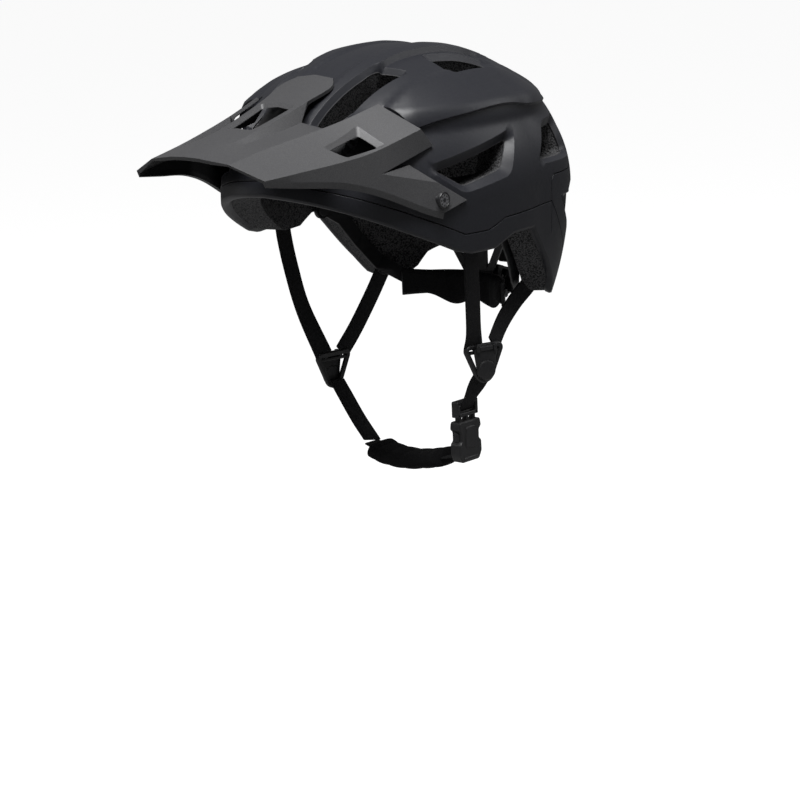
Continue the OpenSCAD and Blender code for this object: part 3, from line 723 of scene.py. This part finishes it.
class Sheet:
    """One triangle sheet over the whole dome that every shell and the liner are cut from."""

    def __init__(self):
        self.rim = both_sides(RIM)
        self.seam = both_sides(SEAM)
        self.panel = panel_outline()
        self.openings = make_openings()
        self.triangulate()
        self.shape()

    def triangulate(self):
        places = []
        edges = []

        def add(line, closed):
            start = len(places)
            places.extend([tuple(p) for p in line])
            count = len(line)
            for i in range(count if closed else count - 1):
                edges.append((start + i, start + (i + 1) % count))

        add(self.rim, True)
        for distance in (0, GROOVE_HALF, -GROOVE_HALF):
            add(offset_line(self.seam, distance, True), True)
            add(offset_line(self.panel, distance, False), False)
        for opening in self.openings:
            add(opening.hole, True)
            add(opening.slope, True)
        for line in feature_lines():
            add(line, False)
        spacing = 3.6
        reach = 260
        u, v = np.meshgrid(np.arange(-reach, reach, spacing), np.arange(-reach, reach, spacing * 0.87))
        u[1::2] += spacing / 2
        grid = np.stack([u.ravel(), v.ravel()], axis=-1)
        grid = grid[inside(self.rim, grid)]
        lines = [np.array([places[a], places[b]]) for a, b in edges]
        grid = grid[distance_to(lines, grid) > 1.3]
        places.extend([tuple(p) for p in grid])
        made = delaunay_2d_cdt([Vector(p) for p in places], edges, [], 0, 1e-4, False)
        self.flat = np.array([(p.x, p.y) for p in made[0]])
        triangles = np.array([list(f) for f in made[2]])
        centres = self.flat[triangles].mean(axis=1)
        keep = inside(self.rim, centres)
        for opening in self.openings:
            keep &= ~inside(opening.hole, centres)
        self.triangles = triangles[keep]
        self.centres = centres[keep]

    def shape(self):
        lift = relief(self.flat)
        for opening in self.openings:
            within = np.where(inside(opening.slope, self.flat))[0]
            near_hole = distance_to([closed_line(opening.hole)], self.flat[within])
            near_slope = distance_to([closed_line(opening.slope)], self.flat[within])
            lift[within] -= opening.depth * near_slope / (near_hole + near_slope + 1e-6)
        grooves = distance_to([closed_line(self.seam), self.panel], self.flat)
        lift -= GROOVE * np.clip(1 - grooves / GROOVE_HALF, 0, 1)
        self.base = dome(self.flat)
        self.normal = dome_normal(self.flat)
        self.lift = lift

    def level(self, depth=0.0):
        return self.base + self.normal * (self.lift - depth)[:, None]


def closed_line(loop):
    return np.vstack([loop, loop[:1]])


def thicken(triangles, top, bottom):
    """Closed body between two levels of the same triangles."""
    used, local = np.unique(triangles, return_inverse=True)
    local = local.reshape(-1, 3)
    count = len(used)
    points = np.vstack([top[used], bottom[used]])
    directed = np.vstack([local[:, [0, 1]], local[:, [1, 2]], local[:, [2, 0]]])
    pairs = {(int(a), int(b)) for a, b in directed}
    faces = [list(t) for t in local]
    faces += [[count + t[2], count + t[1], count + t[0]] for t in local]
    faces += [[b, a, count + a, count + b] for a, b in pairs if (b, a) not in pairs]
    return points, faces


def make_shells():
    lower = ~inside(sheet.seam, sheet.centres)
    rear = inside(sheet.panel, sheet.centres) & ~lower
    upper = ~lower & ~rear
    top = sheet.level()
    bottom = sheet.level(SHELL_T)
    for name, chosen in (("upper_shell", upper), ("rear_shell", rear), ("lower_shell", lower)):
        made = piece(name + "_look", "helmet", [thicken(sheet.triangles[chosen], top, bottom)], "shell")
        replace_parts(made, name)


def make_rim_roll():
    """Rounded lip of the shell round the head opening."""
    profile = [(0.0, 0.0), (-0.5, -1.3), (-2.2, -2.2), (-5.0, -2.0), (-7.5, 0.6)]
    base = dome(sheet.rim)
    normal = dome_normal(sheet.rim)
    lift = relief(sheet.rim)
    rows = []
    for out, down in profile:
        row = base + normal * (lift + out)[:, None]
        row[:, 2] += down
        rows.append(row)
    points = np.vstack(rows)
    made = piece("shell_rim", "helmet", [(points, grid_faces(len(profile), len(sheet.rim), ring=True))],
                 "shell", 60)


def make_liner():
    top = sheet.level(SHELL_T + 0.3)
    bottom = dome(sheet.flat, -FOAM_T, 0.0)
    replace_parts(piece("liner_look", "helmet", [thicken(sheet.triangles, top, bottom)], "foam"), "foam_liner")


def make_vent_edges():
    """Thin pale edge of the shell at each opening."""
    parts = []
    for opening in sheet.openings[:-1]:
        loop = opening.hole
        lift = relief(loop) - opening.depth
        path = dome(loop) + dome_normal(loop) * (lift - 0.3)[:, None]
        parts.append(tube(path, 0.42, 6, closed=True))
    piece("vent_edges", "helmet", parts, "edge")


# ---- visor -------------------------------------------------------------------------------------

VISOR_T = 2.4
RIDGE_TOP = [(0, -200, 79), (0, -168, 87), (0, -135, 95), (0, -102, 106), (0, -82, 114), (0, -72, 118)]
RIDGE_EDGE = [(12, -199, 78.5), (15, -166, 85.7), (17, -135, 93.7), (19.5, -102, 104.3), (22.5, -82, 111.5),
              (16, -72, 116.2)]
CHANNEL_IN = [(22, -197.8, 77.2), (20, -168, 83), (21, -138, 87), (22.5, -112, 91.5)]
CHANNEL_OUT = [(33.5, -195.3, 75.5), (35, -167, 79.8), (39, -137, 83), (44.5, -110, 87.5)]
PANEL_TOP = [(35, -195, 75.2), (36.5, -166, 80.8), (42, -136, 86.2), (48.5, -106, 92), (55, -72, 100.6)]
CREASE = [(58, -187, 65), (65, -160, 67.5), (73, -130, 70.5), (78.7, -104, 74.4), (87, -67, 85)]
BOTTOM = [(57, -186, 60.5), (64, -160, 57), (73, -130, 53), (80.4, -104, 45), (91.5, -72, 30), (97, -60, 25)]
CHAMFER = (1.2, 0.0, 4.2)
PANEL_CORNER = (88.4, -57, 73)
NOTCH = (81.5, -101, 59.5)
ARM_TOP = (84, -77, 62.5)
ARM_EDGE = (93.5, -59.5, 49)
ARM_TIP = (102.5, -41, 35.5)
FRONT_WINDOW = [(-9, -146), (9, -146), (12, -112), (-12, -112)]
SIDE_WINDOW = [(60, -126), (69.5, -122), (75, -99), (61.5, -101)]
LINE_STEPS = 6


def ruled(a, b):
    """Surface between two lines of the same number of points."""
    return np.vstack([a, b]), grid_faces(2, len(a))


def straight(a, b, cuts):
    """Points from a to b, both included."""
    return np.array([np.asarray(a, float) * (1 - t) + np.asarray(b) * t for t in np.linspace(0, 1, cuts + 1)])


def visor_half():
    top, ridge, inner, outer, panel, crease, bottom = [
        curve_through(line, LINE_STEPS)
        for line in (RIDGE_TOP, RIDGE_EDGE, CHANNEL_IN, CHANNEL_OUT, PANEL_TOP, CREASE, BOTTOM)]
    chamfer = bottom + CHAMFER
    chamfer[:LINE_STEPS] = bottom[:LINE_STEPS] + np.outer(np.linspace(0.1, 1, LINE_STEPS), CHAMFER)
    short = 3 * LINE_STEPS + 1
    arm = np.vstack([straight(NOTCH, ARM_EDGE, LINE_STEPS), straight(ARM_EDGE, ARM_TIP, LINE_STEPS)[1:]])
    notch_to_edge = arm[:LINE_STEPS + 1]
    return [
        ruled(top, ridge), ruled(ridge[:short], inner), ruled(inner, outer), ruled(outer, panel[:short]),
        ruled(panel, crease), ruled(crease[:short], chamfer[:short]), ruled(chamfer, bottom),
        ruled(crease[short - 1:], straight(NOTCH, PANEL_CORNER, LINE_STEPS)),
        ([CREASE[3], NOTCH, chamfer[short - 1]], [[0, 1, 2]]),
        ruled(arm, chamfer[short - 1:]), ruled([ARM_TOP] * len(notch_to_edge), notch_to_edge)]


def window_cutter(corners, near, margin=3.0):
    """Tapered block whose top follows the visor's face, fitted through the points near."""
    near = np.asarray(near, float)
    plane = np.linalg.lstsq(np.c_[near[:, :2], np.ones(len(near))], near[:, 2], rcond=None)[0]
    rings = []
    for grow, lift in ((margin + 1.2, 1.2), (margin - 2.2, -2.6), (margin - 2.6, -9)):
        loop = rounded(spread(corners, grow), 2.5, 1000)
        height = np.c_[loop, np.ones(len(loop))] @ plane + lift
        rings.append(np.c_[loop, height])
    count = len(rings[0])
    faces = grid_faces(3, count, ring=True) + [list(range(count))[::-1], list(range(2 * count, 3 * count))]
    bm = bmesh.new()
    made = [bm.verts.new(p) for p in np.vstack(rings)]
    for face in faces:
        bm.faces.new([made[i] for i in face])
    bmesh.ops.recalc_face_normals(bm, faces=bm.faces[:])
    return from_bmesh(bm)


def applied(made):
    """Bake the modifiers of a piece into its mesh."""
    graph = bpy.context.evaluated_depsgraph_get()
    mesh = bpy.data.meshes.new_from_object(made.evaluated_get(graph))
    made.modifiers.clear()
    made.data = mesh


def make_visor():
    half = visor_half()
    points, faces = joined(half + [mirrored(part) for part in half])
    bm = bmesh.new()
    verts = [bm.verts.new(p) for p in points]
    bm.verts.ensure_lookup_table()
    for face in faces:
        corners = list(dict.fromkeys(face))
        bm.faces.new([verts[i] for i in corners])
    bmesh.ops.remove_doubles(bm, verts=bm.verts[:], dist=0.05)
    bmesh.ops.dissolve_degenerate(bm, edges=bm.edges[:], dist=0.02)
    bmesh.ops.recalc_face_normals(bm, faces=bm.faces[:])
    if sum(f.normal.z for f in bm.faces) < 0:
        bmesh.ops.reverse_faces(bm, faces=bm.faces[:])
    made = piece("visor_look", "visor", [from_bmesh(bm)], "visor", 14, extra=("visor_under_painted_shade",))
    thick = made.modifiers.new("thickness", "SOLIDIFY")
    thick.thickness = VISOR_T * MM
    thick.offset = -1
    thick.use_even_offset = True
    thick.thickness_clamp = 1.0
    # The inner faces take the second slot, the darker copy of the visor finish: painted shade on the underside.
    thick.material_offset = 1
    thick.material_offset_rim = 0
    centre = RIDGE_TOP[1:4] + RIDGE_EDGE[1:4]
    centre += [(-x, y, z) for x, y, z in RIDGE_EDGE[1:4]]
    side_near = PANEL_TOP[1:4] + CREASE[1:4]
    cutters = [window_cutter(FRONT_WINDOW, centre)]
    for side in (1, -1):
        cutters.append(window_cutter([(side * x, y) for x, y in SIDE_WINDOW],
                                     [(side * x, y, z) for x, y, z in side_near]))
    tools = []
    for cutter in cutters:
        tool = piece("window_tool", "visor", [cutter], "visor")
        cut = made.modifiers.new("window", "BOOLEAN")
        cut.operation = "DIFFERENCE"
        cut.solver = "EXACT"
        cut.object = tool
        tools.append(tool)
    applied(made)
    for tool in tools:
        bpy.data.objects.remove(tool)
    smooth_shading(made.data, 14)
    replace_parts(made, "visor")


# ---- screws ------------------------------------------------------------------------------------

def make_screws():
    head = lathe([(0, 1.5), (4.6, 1.5), (4.8, 2.0), (5.3, 2.0), (5.6, 1.6), (5.6, 0), (3, 0), (3, -16.5), (0, -17)])
    face = lathe([(0, 1.75), (4.3, 1.75), (4.5, 1.4)])
    dots = [moved(lathe([(0, 0.06), (0.55, 0.06), (0.62, -0.3)], 16),
                  (3.25 * math.cos(k * math.pi / 4), 3.25 * math.sin(k * math.pi / 4), 1.8)) for k in range(8)]
    star = []
    for k in range(12):
        reach = 2.0 if k % 2 else 1.15
        star.append((reach * math.cos(k * math.pi / 6), reach * math.sin(k * math.pi / 6), 1.84))
    marks = [*dots, (star, [list(range(12))])]
    for name, side in SIDES.items():
        node = "visor_screw_" + name
        low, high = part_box(node)
        centre = [(a + b) / 2 / MM for a, b in zip(low, high)]
        outer = (high[0] if side > 0 else low[0]) / MM
        place = (outer - side * 2.0, centre[1], centre[2])
        turn = Matrix.Rotation(side * math.pi / 2, 3, "Y")
        body = "screw_" + name
        made = piece("screw_look_" + name, body, [moved(head, place, turn)], "screw")
        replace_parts(made, node)
        piece("screw_face_" + name, body, [moved(face, place, turn)], "silver")
        piece("screw_marks_" + name, body, [moved(mark, place, turn) for mark in marks], "screw")


# ---- webbing -----------------------------------------------------------------------------------

WEBBING_W = 15.0
WEBBING_T = 1.4
DIVIDERS = {"left": ((77, 0, -84.5), 70), "right": ((-73, 13, -108), -100)}


def ribbon(stations, width=WEBBING_W, thick=WEBBING_T, steps=8):
    """Flat webbing through (place, width direction) stations, with rounded edges."""
    path = curve_through([place for place, _ in stations], steps)
    lean = curve_through([way for _, way in stations], steps)
    section = []
    for k in range(16):
        a = 2 * math.pi * k / 16
        c, s = math.cos(a), math.sin(a)
        section.append((math.copysign(abs(c) ** 0.25, c) * width / 2, math.copysign(abs(s) ** 0.6, s) * thick / 2))
    points = []
    for i in range(len(path)):
        along = path[min(i + 1, len(path) - 1)] - path[max(i - 1, 0)]
        along /= np.linalg.norm(along)
        wide = lean[i] - along * np.dot(along, lean[i])
        wide /= np.linalg.norm(wide)
        deep = np.cross(along, wide)
        points.extend([path[i] + wide * x + deep * y for x, y in section])
    faces = grid_faces(len(path), 16, ring=True)
    faces += [list(range(16))[::-1], [(len(path) - 1) * 16 + k for k in range(16)]]
    return points, faces


def divider_point(name, x, y, lift=1.3):
    """Place on a divider: x along its width, y up, lift out of its back face."""
    centre, degrees = DIVIDERS[name]
    turn = math.radians(degrees)
    return (centre[0] + x * math.cos(turn) + lift * math.sin(turn),
            centre[1] + x * math.sin(turn) - lift * math.cos(turn), centre[2] + y)


def divider_width(name):
    side = SIDES[name]
    turn = math.radians(DIVIDERS[name][1])
    return (side * math.cos(turn), side * math.sin(turn), 0)


FRONT_TOPS = {"left": 88, "right": 85}
REAR_LEAN = (0, -0.6, 0.8)
REAR_ROUTES = {"left": [(68, 74, -33), (69, 66, -40), (70.5, 48, -49), (73.5, 28, -61)],
               "right": [(-68, 74, -33), (-69, 66, -43), (-70.5, 54, -60), (-72, 37, -81)]}


def strap_piece(name, body, stations, node):
    made = piece(name, body, [ribbon(stations)], "webbing", 60)
    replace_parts(made, node)


def make_upper_straps():
    for name, side in SIDES.items():
        top = FRONT_TOPS[name]
        front = [((side * top, -22, 13), (0, 1, 0)), ((side * (top - 0.5), -21.5, -4), (0, 1, 0)),
                 ((side * (top - 3), -18, -30), (0, 1, -0.1)), ((side * 79, -11, -60), (0, 1, -0.1)),
                 (divider_point(name, -8 * side, 11), divider_width(name))]
        strap_piece("front_webbing_" + name, "helmet", front, "front_strap_" + name)
        rear = [(place, REAR_LEAN) for place in REAR_ROUTES[name]]
        rear.append((divider_point(name, 8 * side, 11), REAR_LEAN))
        strap_piece("rear_webbing_" + name, "helmet", rear, "rear_strap_" + name)


def make_lower_straps():
    across = (0, 1, 0)
    left = [(divider_point("left", 0, -7), divider_width("left")), ((73, -1.5, -100), divider_width("left")),
            ((67, -3, -111), across), ((61.6, -3, -119.5), across)]
    strap_piece("lower_webbing_left", "helmet", left, "lower_strap_left")
    start = (DIVIDERS["right"][0][0] + 2, 12.5, -116)
    right = [(start, across), ((-64, 11.5, -124), across), ((-46, 6, -140), across),
             ((-28, 0, -152.5), across)]
    made = piece("lower_webbing_right", None, [ribbon(right)], "webbing", 60)
    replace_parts(made, "lower_strap_right")
    tuple(c * MM for c in right[0][0])
    tuple(c * MM for c in right[-1][0])
    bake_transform(made)
    chin = [((65, -3, -152), across), ((52, -3, -153.5), across), ((32, -2.5, -158), across),
            ((12, -2, -161), across), ((-8, -1.5, -160), across), ((-27.5, -1, -154), across)]
    strap_piece("chin_webbing", "chin_run", chin, "chin_strap")


# ---- dividers and levers -----------------------------------------------------------------------

DIVIDER_ROUNDS = [(-11, 9, 4), (11, 9, 4), (0, -6, 8)]
LEVER_ROUNDS = [(-7, 8, 2), (7, 8, 2), (0, -5, 7)]


def round_outline(rounds, grow, count=72):
    """Outline of the hull of some circles, as count points by direction."""
    out = []
    for k in range(count):
        a = 2 * math.pi * k / count
        way = np.array((math.cos(a), math.sin(a)))
        centre = max(rounds, key=lambda r: np.dot(way, r[:2]) + r[2])
        out.append(np.array(centre[:2]) + way * (centre[2] + grow))
    return np.array(out)


def stacked(levels):
    """Closed skin through outlines of the same count, each with its height, capped at both ends."""
    points = np.vstack([np.c_[outline, np.full(len(outline), height)] for outline, height in levels])
    count = len(levels[0][0])
    last = (len(levels) - 1) * count
    faces = grid_faces(len(levels), count, ring=True)
    return points, faces + [list(range(count))[::-1], [last + k for k in range(count)]]


def hoop(levels):
    """Ring through outlines of the same count, each with its height, closed on itself."""
    points = np.vstack([np.c_[outline, np.full(len(outline), height)] for outline, height in levels])
    count = len(levels[0][0])
    last = (len(levels) - 1) * count
    faces = grid_faces(len(levels), count, ring=True)
    faces += [[last + k, last + (k + 1) % count, (k + 1) % count, k] for k in range(count)]
    return points, faces


def at_divider(name, parts):
    centre, degrees = DIVIDERS[name]
    turn = Matrix.Rotation(math.radians(degrees), 3, "Z") @ Matrix.Rotation(math.pi / 2, 3, "X")
    return [moved(part, centre, turn) for part in parts]


def make_dividers():
    def line(grow):
        return round_outline(DIVIDER_ROUNDS, grow)

    frame_part = hoop([(line(0.3), 0.5), (line(0.3), 2.4), (line(-0.6), 3.3), (line(-2.4), 3.3),
                       (line(-3.2), 2.4), (line(-3.2), 0.0), (line(-0.5), -0.3)])
    bar = block((22, 2.4, 2.2), (0, 7.6, 1.2), 0.5)
    ears = [block((2.8, 4.4, 6.6), (x, 10.7, 3.6), 0.5) for x in (-6.8, 6.8)]
    flap = stacked([(round_outline(LEVER_ROUNDS, -0.8), 3.2), (round_outline(LEVER_ROUNDS, 0), 3.7),
                    (round_outline(LEVER_ROUNDS, 0), 4.6), (round_outline(LEVER_ROUNDS, -0.9), 5.2)])
    disc = moved(lathe([(0, 6.6), (5.4, 6.6), (6.6, 6.2), (7.1, 5.4), (7.1, 3.2), (6, 3.0), (0, 3.0)]), (0, -5, 0))
    hub = moved(lathe([(1.0, -7.5), (1.0, -5), (1.9, -5), (1.9, 5), (1.0, 5), (1.0, 7.5)], 24), (0, 10.7, 4.6),
                Matrix.Rotation(math.pi / 2, 3, "Y"))
    for name in SIDES:
        frame_look = piece("divider_look_" + name, "helmet", at_divider(name, [frame_part, bar, *ears]),
                           "hardware")
        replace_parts(frame_look, "divider_frame_" + name)
        lever = piece("lever_look_" + name, name + "_cam", at_divider(name, [flap, disc, hub]), "hardware")
        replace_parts(lever, "cam_lever_" + name)


# ---- buckle ------------------------------------------------------------------------------------

def prism(outline, half, edge=0.8):
    """Plate of a y-z outline, half thick each way along x, with chamfered faces."""
    levels = [(-half, -edge), (-half + edge, 0), (half - edge, 0), (half, -edge)]
    count = len(outline)
    centre = np.mean(outline, axis=0)
    points = []
    for x, inset in levels:
        for y, z in outline:
            step = np.array((y, z)) - centre
            y2, z2 = centre + step * (1 + inset / max(np.linalg.norm(step), 1))
            points.append((x, y2, z2))
    faces = grid_faces(4, count, ring=True)
    return points, faces + [list(range(count))[::-1], [3 * count + k for k in range(count)]]


def make_buckle():
    low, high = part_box("buckle_socket")
    at = ((low[0] + high[0]) / 2 / MM, (low[1] + high[1]) / 2 / MM, high[2] / MM - 7)
    socket = rounded([(-9, -22), (9, -22), (12, -17), (12, -9), (9.6, -7), (9.6, 0), (12, 2), (11, 7), (-11, 7),
                      (-12, 2), (-9.6, 0), (-9.6, -7), (-12, -9), (-12, -17)], 1.2, 3)
    panel = rounded([(-6, -12), (6, -12), (5, 3), (-5, 3)], 2, 3)
    bar = block((10.4, 15, 2.4), (0, 0, -19.6), 0.8)
    parts = [prism(socket, 4.5), prism(panel, 5.1, 0.5), bar]
    made = piece("socket_look", "chin_run", [moved(part, at) for part in parts], "hardware")
    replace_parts(made, "buckle_socket")
    arms = [block((4, 3.4, 22), (0, side * 7.4, 0), 0.9) for side in (1, -1)]
    tips = [block((4.6, 4.2, 7.5), (0, side * 8.6, -4.2), 1.2) for side in (1, -1)]
    frame_bars = [block((6, 3, 11), (0, side * 9.6, 15.5), 0.8) for side in (1, -1)]
    cross_bars = [block((6, 22, 3), (0, 0, height), 0.9) for height in (11.5, 20)]
    guide = block((4, 3, 19), (0, 0, 1.5), 0.7)
    plug_parts = [*arms, *tips, *frame_bars, *cross_bars, guide]
    made = piece("plug_look", "helmet", [moved(part, at) for part in plug_parts], "hardware")
    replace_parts(made, "buckle_plug")


# ---- pads --------------------------------------------------------------------------------------

def cushion(place, rows, cols, thick, puffs=1):
    """Padded strip over place(s, t, depth) for s and t from 0 to 1, with puffs along s."""
    top = []
    base = []
    for i in range(rows + 1):
        for j in range(cols + 1):
            s, t = i / rows, j / cols
            edge = (1 - abs(2 * s - 1) ** 6) * (1 - abs(2 * t - 1) ** 4)
            quilt = 1 - 0.35 * abs(math.cos(math.pi * s * puffs)) ** 8 if puffs > 1 else 1
            top.append(place(s, t, 0.6 + (thick - 0.6) * max(edge, 0) ** 0.5 * quilt))
            base.append(place(s, t, 0.0))
    count = (rows + 1) * (cols + 1)
    faces = grid_faces(rows + 1, cols + 1)
    border = [i * (cols + 1) for i in range(rows)] + [rows * (cols + 1) + j for j in range(cols)]
    border += [i * (cols + 1) + cols for i in range(rows, 0, -1)] + list(range(cols, 0, -1))
    under = [[count + i for i in reversed(face)] for face in faces]
    walls = [[border[k], border[(k + 1) % len(border)], count + border[(k + 1) % len(border)],
              count + border[k]] for k in range(len(border))]
    return top + base, faces + under + walls


def cavity_place(angle, height, depth, gap=0.6):
    """Point inside the liner at an azimuth in degrees, a height and a depth from its face."""
    grow = -FOAM_T - gap - depth
    rise = RISE + grow
    shrink = math.sqrt(max(0, 1 - ((height - BELT_Z) / rise) ** 2)) if height > BELT_Z else 1
    a = math.radians(angle)
    reach = (FRONT if math.sin(a) < 0 else REAR) + grow
    return ((HALF_WIDTH + grow) * shrink * math.cos(a), BELT_Y + reach * shrink * math.sin(a), height)


def cradle_place(angle, height, depth):
    """Point on the cradle's ellipse, depth towards the head."""
    a = math.radians(angle)
    return ((55.2 - depth) * math.cos(a), 24 + (66.2 - depth) * math.sin(a), height)


def make_pads():
    brow = cushion(lambda s, t, d: cavity_place(200 + 140 * s, 50 + 14 * t, d), 70, 12, 6, 6)
    side_parts = [cushion(lambda s, t, d, a=a: cavity_place(a - 12 + 24 * s, 34 + 12 * t, d), 16, 10, 6)
                  for a in (-14, 194)]
    crown_parts = []
    for x in (-16, 16):
        def place(s, t, d, x=x):
            across = x - 7 + 14 * t
            along = -45 + 100 * s
            grow = -FOAM_T - 0.6
            reach = (FRONT if along < BELT_Y else REAR) + grow
            inner = 1 - (across / (HALF_WIDTH + grow)) ** 2 - ((along - BELT_Y) / reach) ** 2
            return (across, along, BELT_Z + (RISE + grow) * math.sqrt(max(0, inner)) - d)
        crown_parts.append(cushion(place, 40, 8, 6, 4))

    def nape(s, t, d):
        side = 2 * s - 1
        wing = abs(side) ** 3
        lower = -65 + 11 * wing + 2.5 * math.cos(3 * math.pi * side)
        upper = -39 - 3.5 * (1 - wing)
        return cradle_place(34 + 112 * s, lower + (upper - lower) * t, d)

    nape_part = cushion(nape, 60, 14, 6, 3)
    for name, body, parts, node in (
            ("brow_cushion", "helmet", [brow], "brow_pad"), ("side_cushions", "helmet", side_parts, "side_pads"),
            ("crown_cushions", "helmet", crown_parts, "crown_pads"),
            ("nape_cushion", "cradle", [nape_part], "occipital_pad")):
        made = piece(name, body, parts, "padding", 50)
        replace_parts(made, node)


def make_chin_pad():
    route = curve_through([(44, -155.2), (32, -158), (12, -161), (-8, -160), (-21, -156)], 14)
    length = len(route)
    points = []
    for i, (x, z) in enumerate(route):
        share = i / (length - 1)
        end = min(1, share / 0.05, (1 - share) / 0.05)
        puff = 0.86 + 0.14 * abs(math.sin(math.pi * share * 6)) ** 0.5
        before, after = route[max(i - 1, 0)], route[min(i + 1, length - 1)]
        along = (after - before) / np.linalg.norm(after - before)
        for k in range(28):
            a = 2 * math.pi * k / 28
            wide = math.copysign(abs(math.cos(a)) ** 0.7, math.cos(a)) * 14.2 * (0.6 + 0.4 * end ** 0.5)
            deep = math.copysign(abs(math.sin(a)) ** 0.8, math.sin(a)) * 6.4 * puff * (0.35 + 0.65 * end ** 0.5)
            points.append((x - along[1] * deep, -2 + wide, z + along[0] * deep))
    faces = grid_faces(length, 28, ring=True)
    faces += [list(range(28))[::-1], [(length - 1) * 28 + k for k in range(28)]]
    made = piece("chin_cushion", "chin_run", [(points, faces)], "padding", 50)
    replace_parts(made, "chin_pad")


# ---- goggle cord -------------------------------------------------------------------------------

CORD_R = 1.1
CORD_ROUTE = [(22, 118.6, 86), (20.5, 128, 74), (18.5, 133, 62), (15, 137.6, 40), (12, 138, 20), (7, 135.5, -3)]


def make_goggle_keeper():
    plug = lathe([(0, 3.4), (2.0, 3.4), (2.4, 2.6), (4.2, 2.4), (4.8, 1.4), (4.8, 0), (4, -0.4), (4, -4), (0, -4)], 32)
    plugs = []
    for side in (1, -1):
        turn = Matrix.Rotation(math.radians(-60), 3, "X")
        plugs.append(moved(plug, (side * 22, 115.5, 87.5), turn))
    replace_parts(piece("cord_plug_look", "helmet", plugs, "hardware"), "cord_plugs")
    path = curve_through(CORD_ROUTE, 8)
    parts = [tube(path * (side, 1, 1), CORD_R, 10) for side in (1, -1)]
    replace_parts(piece("cord_look", "goggle_keeper", parts, "elastic", 60), "goggle_cord")
    head = rounded([(-8.5, 1), (8.5, 1), (8.5, -13), (6.5, -22), (-6.5, -22), (-8.5, -13)], 2.5, 3)
    mouth = rounded([(-4, -5), (4, -5), (3.4, -15), (-3.4, -15)], 3, 3)
    tail = rounded([(-6.5, -18), (6.5, -18), (7, -40), (-7, -40)], 2, 3)
    rows = [stacked_plate(head, -1, 3.8), stacked_plate(mouth, 3.4, 4.6), stacked_plate(tail, -0.8, 0.9)]
    turn = Matrix.Rotation(math.radians(-14), 3, "X")
    lip = block((8, 3.4, 2.6), (0, 4.6, -5.2), 0.9)
    made = piece("hook_look", "goggle_keeper", [moved(part, (0, 134.4, -2), turn) for part in [*rows, lip]],
                 "hardware")
    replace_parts(made, "cord_hook")


def stacked_plate(outline, near, far, edge=0.7):
    """Plate of an x-z outline between two values of y, with chamfered faces."""
    outline = np.asarray(outline)
    centre = outline.mean(axis=0)
    points = []
    for y, scale in ((near, 0.94), (near + edge, 1), (far - edge, 1), (far, 0.94)):
        shape = centre + (outline - centre) * scale
        points.extend([(x, y, z) for x, z in shape])
    count = len(outline)
    faces = grid_faces(4, count, ring=True)
    return points, faces + [list(range(count))[::-1], [3 * count + k for k in range(count)]]


# ---- everything --------------------------------------------------------------------------------

def finish_cad_nodes():
    """Give the parts that stay as they are their finished materials."""
    slots = {entry["node"]: entry["material_slot"] for entry in frame["record"]["subparts"]}
    for name, node in frame["nodes"].items():
        node.data.materials.clear()
        node.data.materials.append(looks[slots[name]])


make_camera()
looks = make_materials()
make_stage()
sheet = Sheet()
finish_cad_nodes()
make_shells()
make_rim_roll()
make_liner()
make_vent_edges()
make_visor()
make_screws()
make_upper_straps()
make_lower_straps()
make_dividers()
make_buckle()
make_pads()
make_chin_pad()
make_goggle_keeper()
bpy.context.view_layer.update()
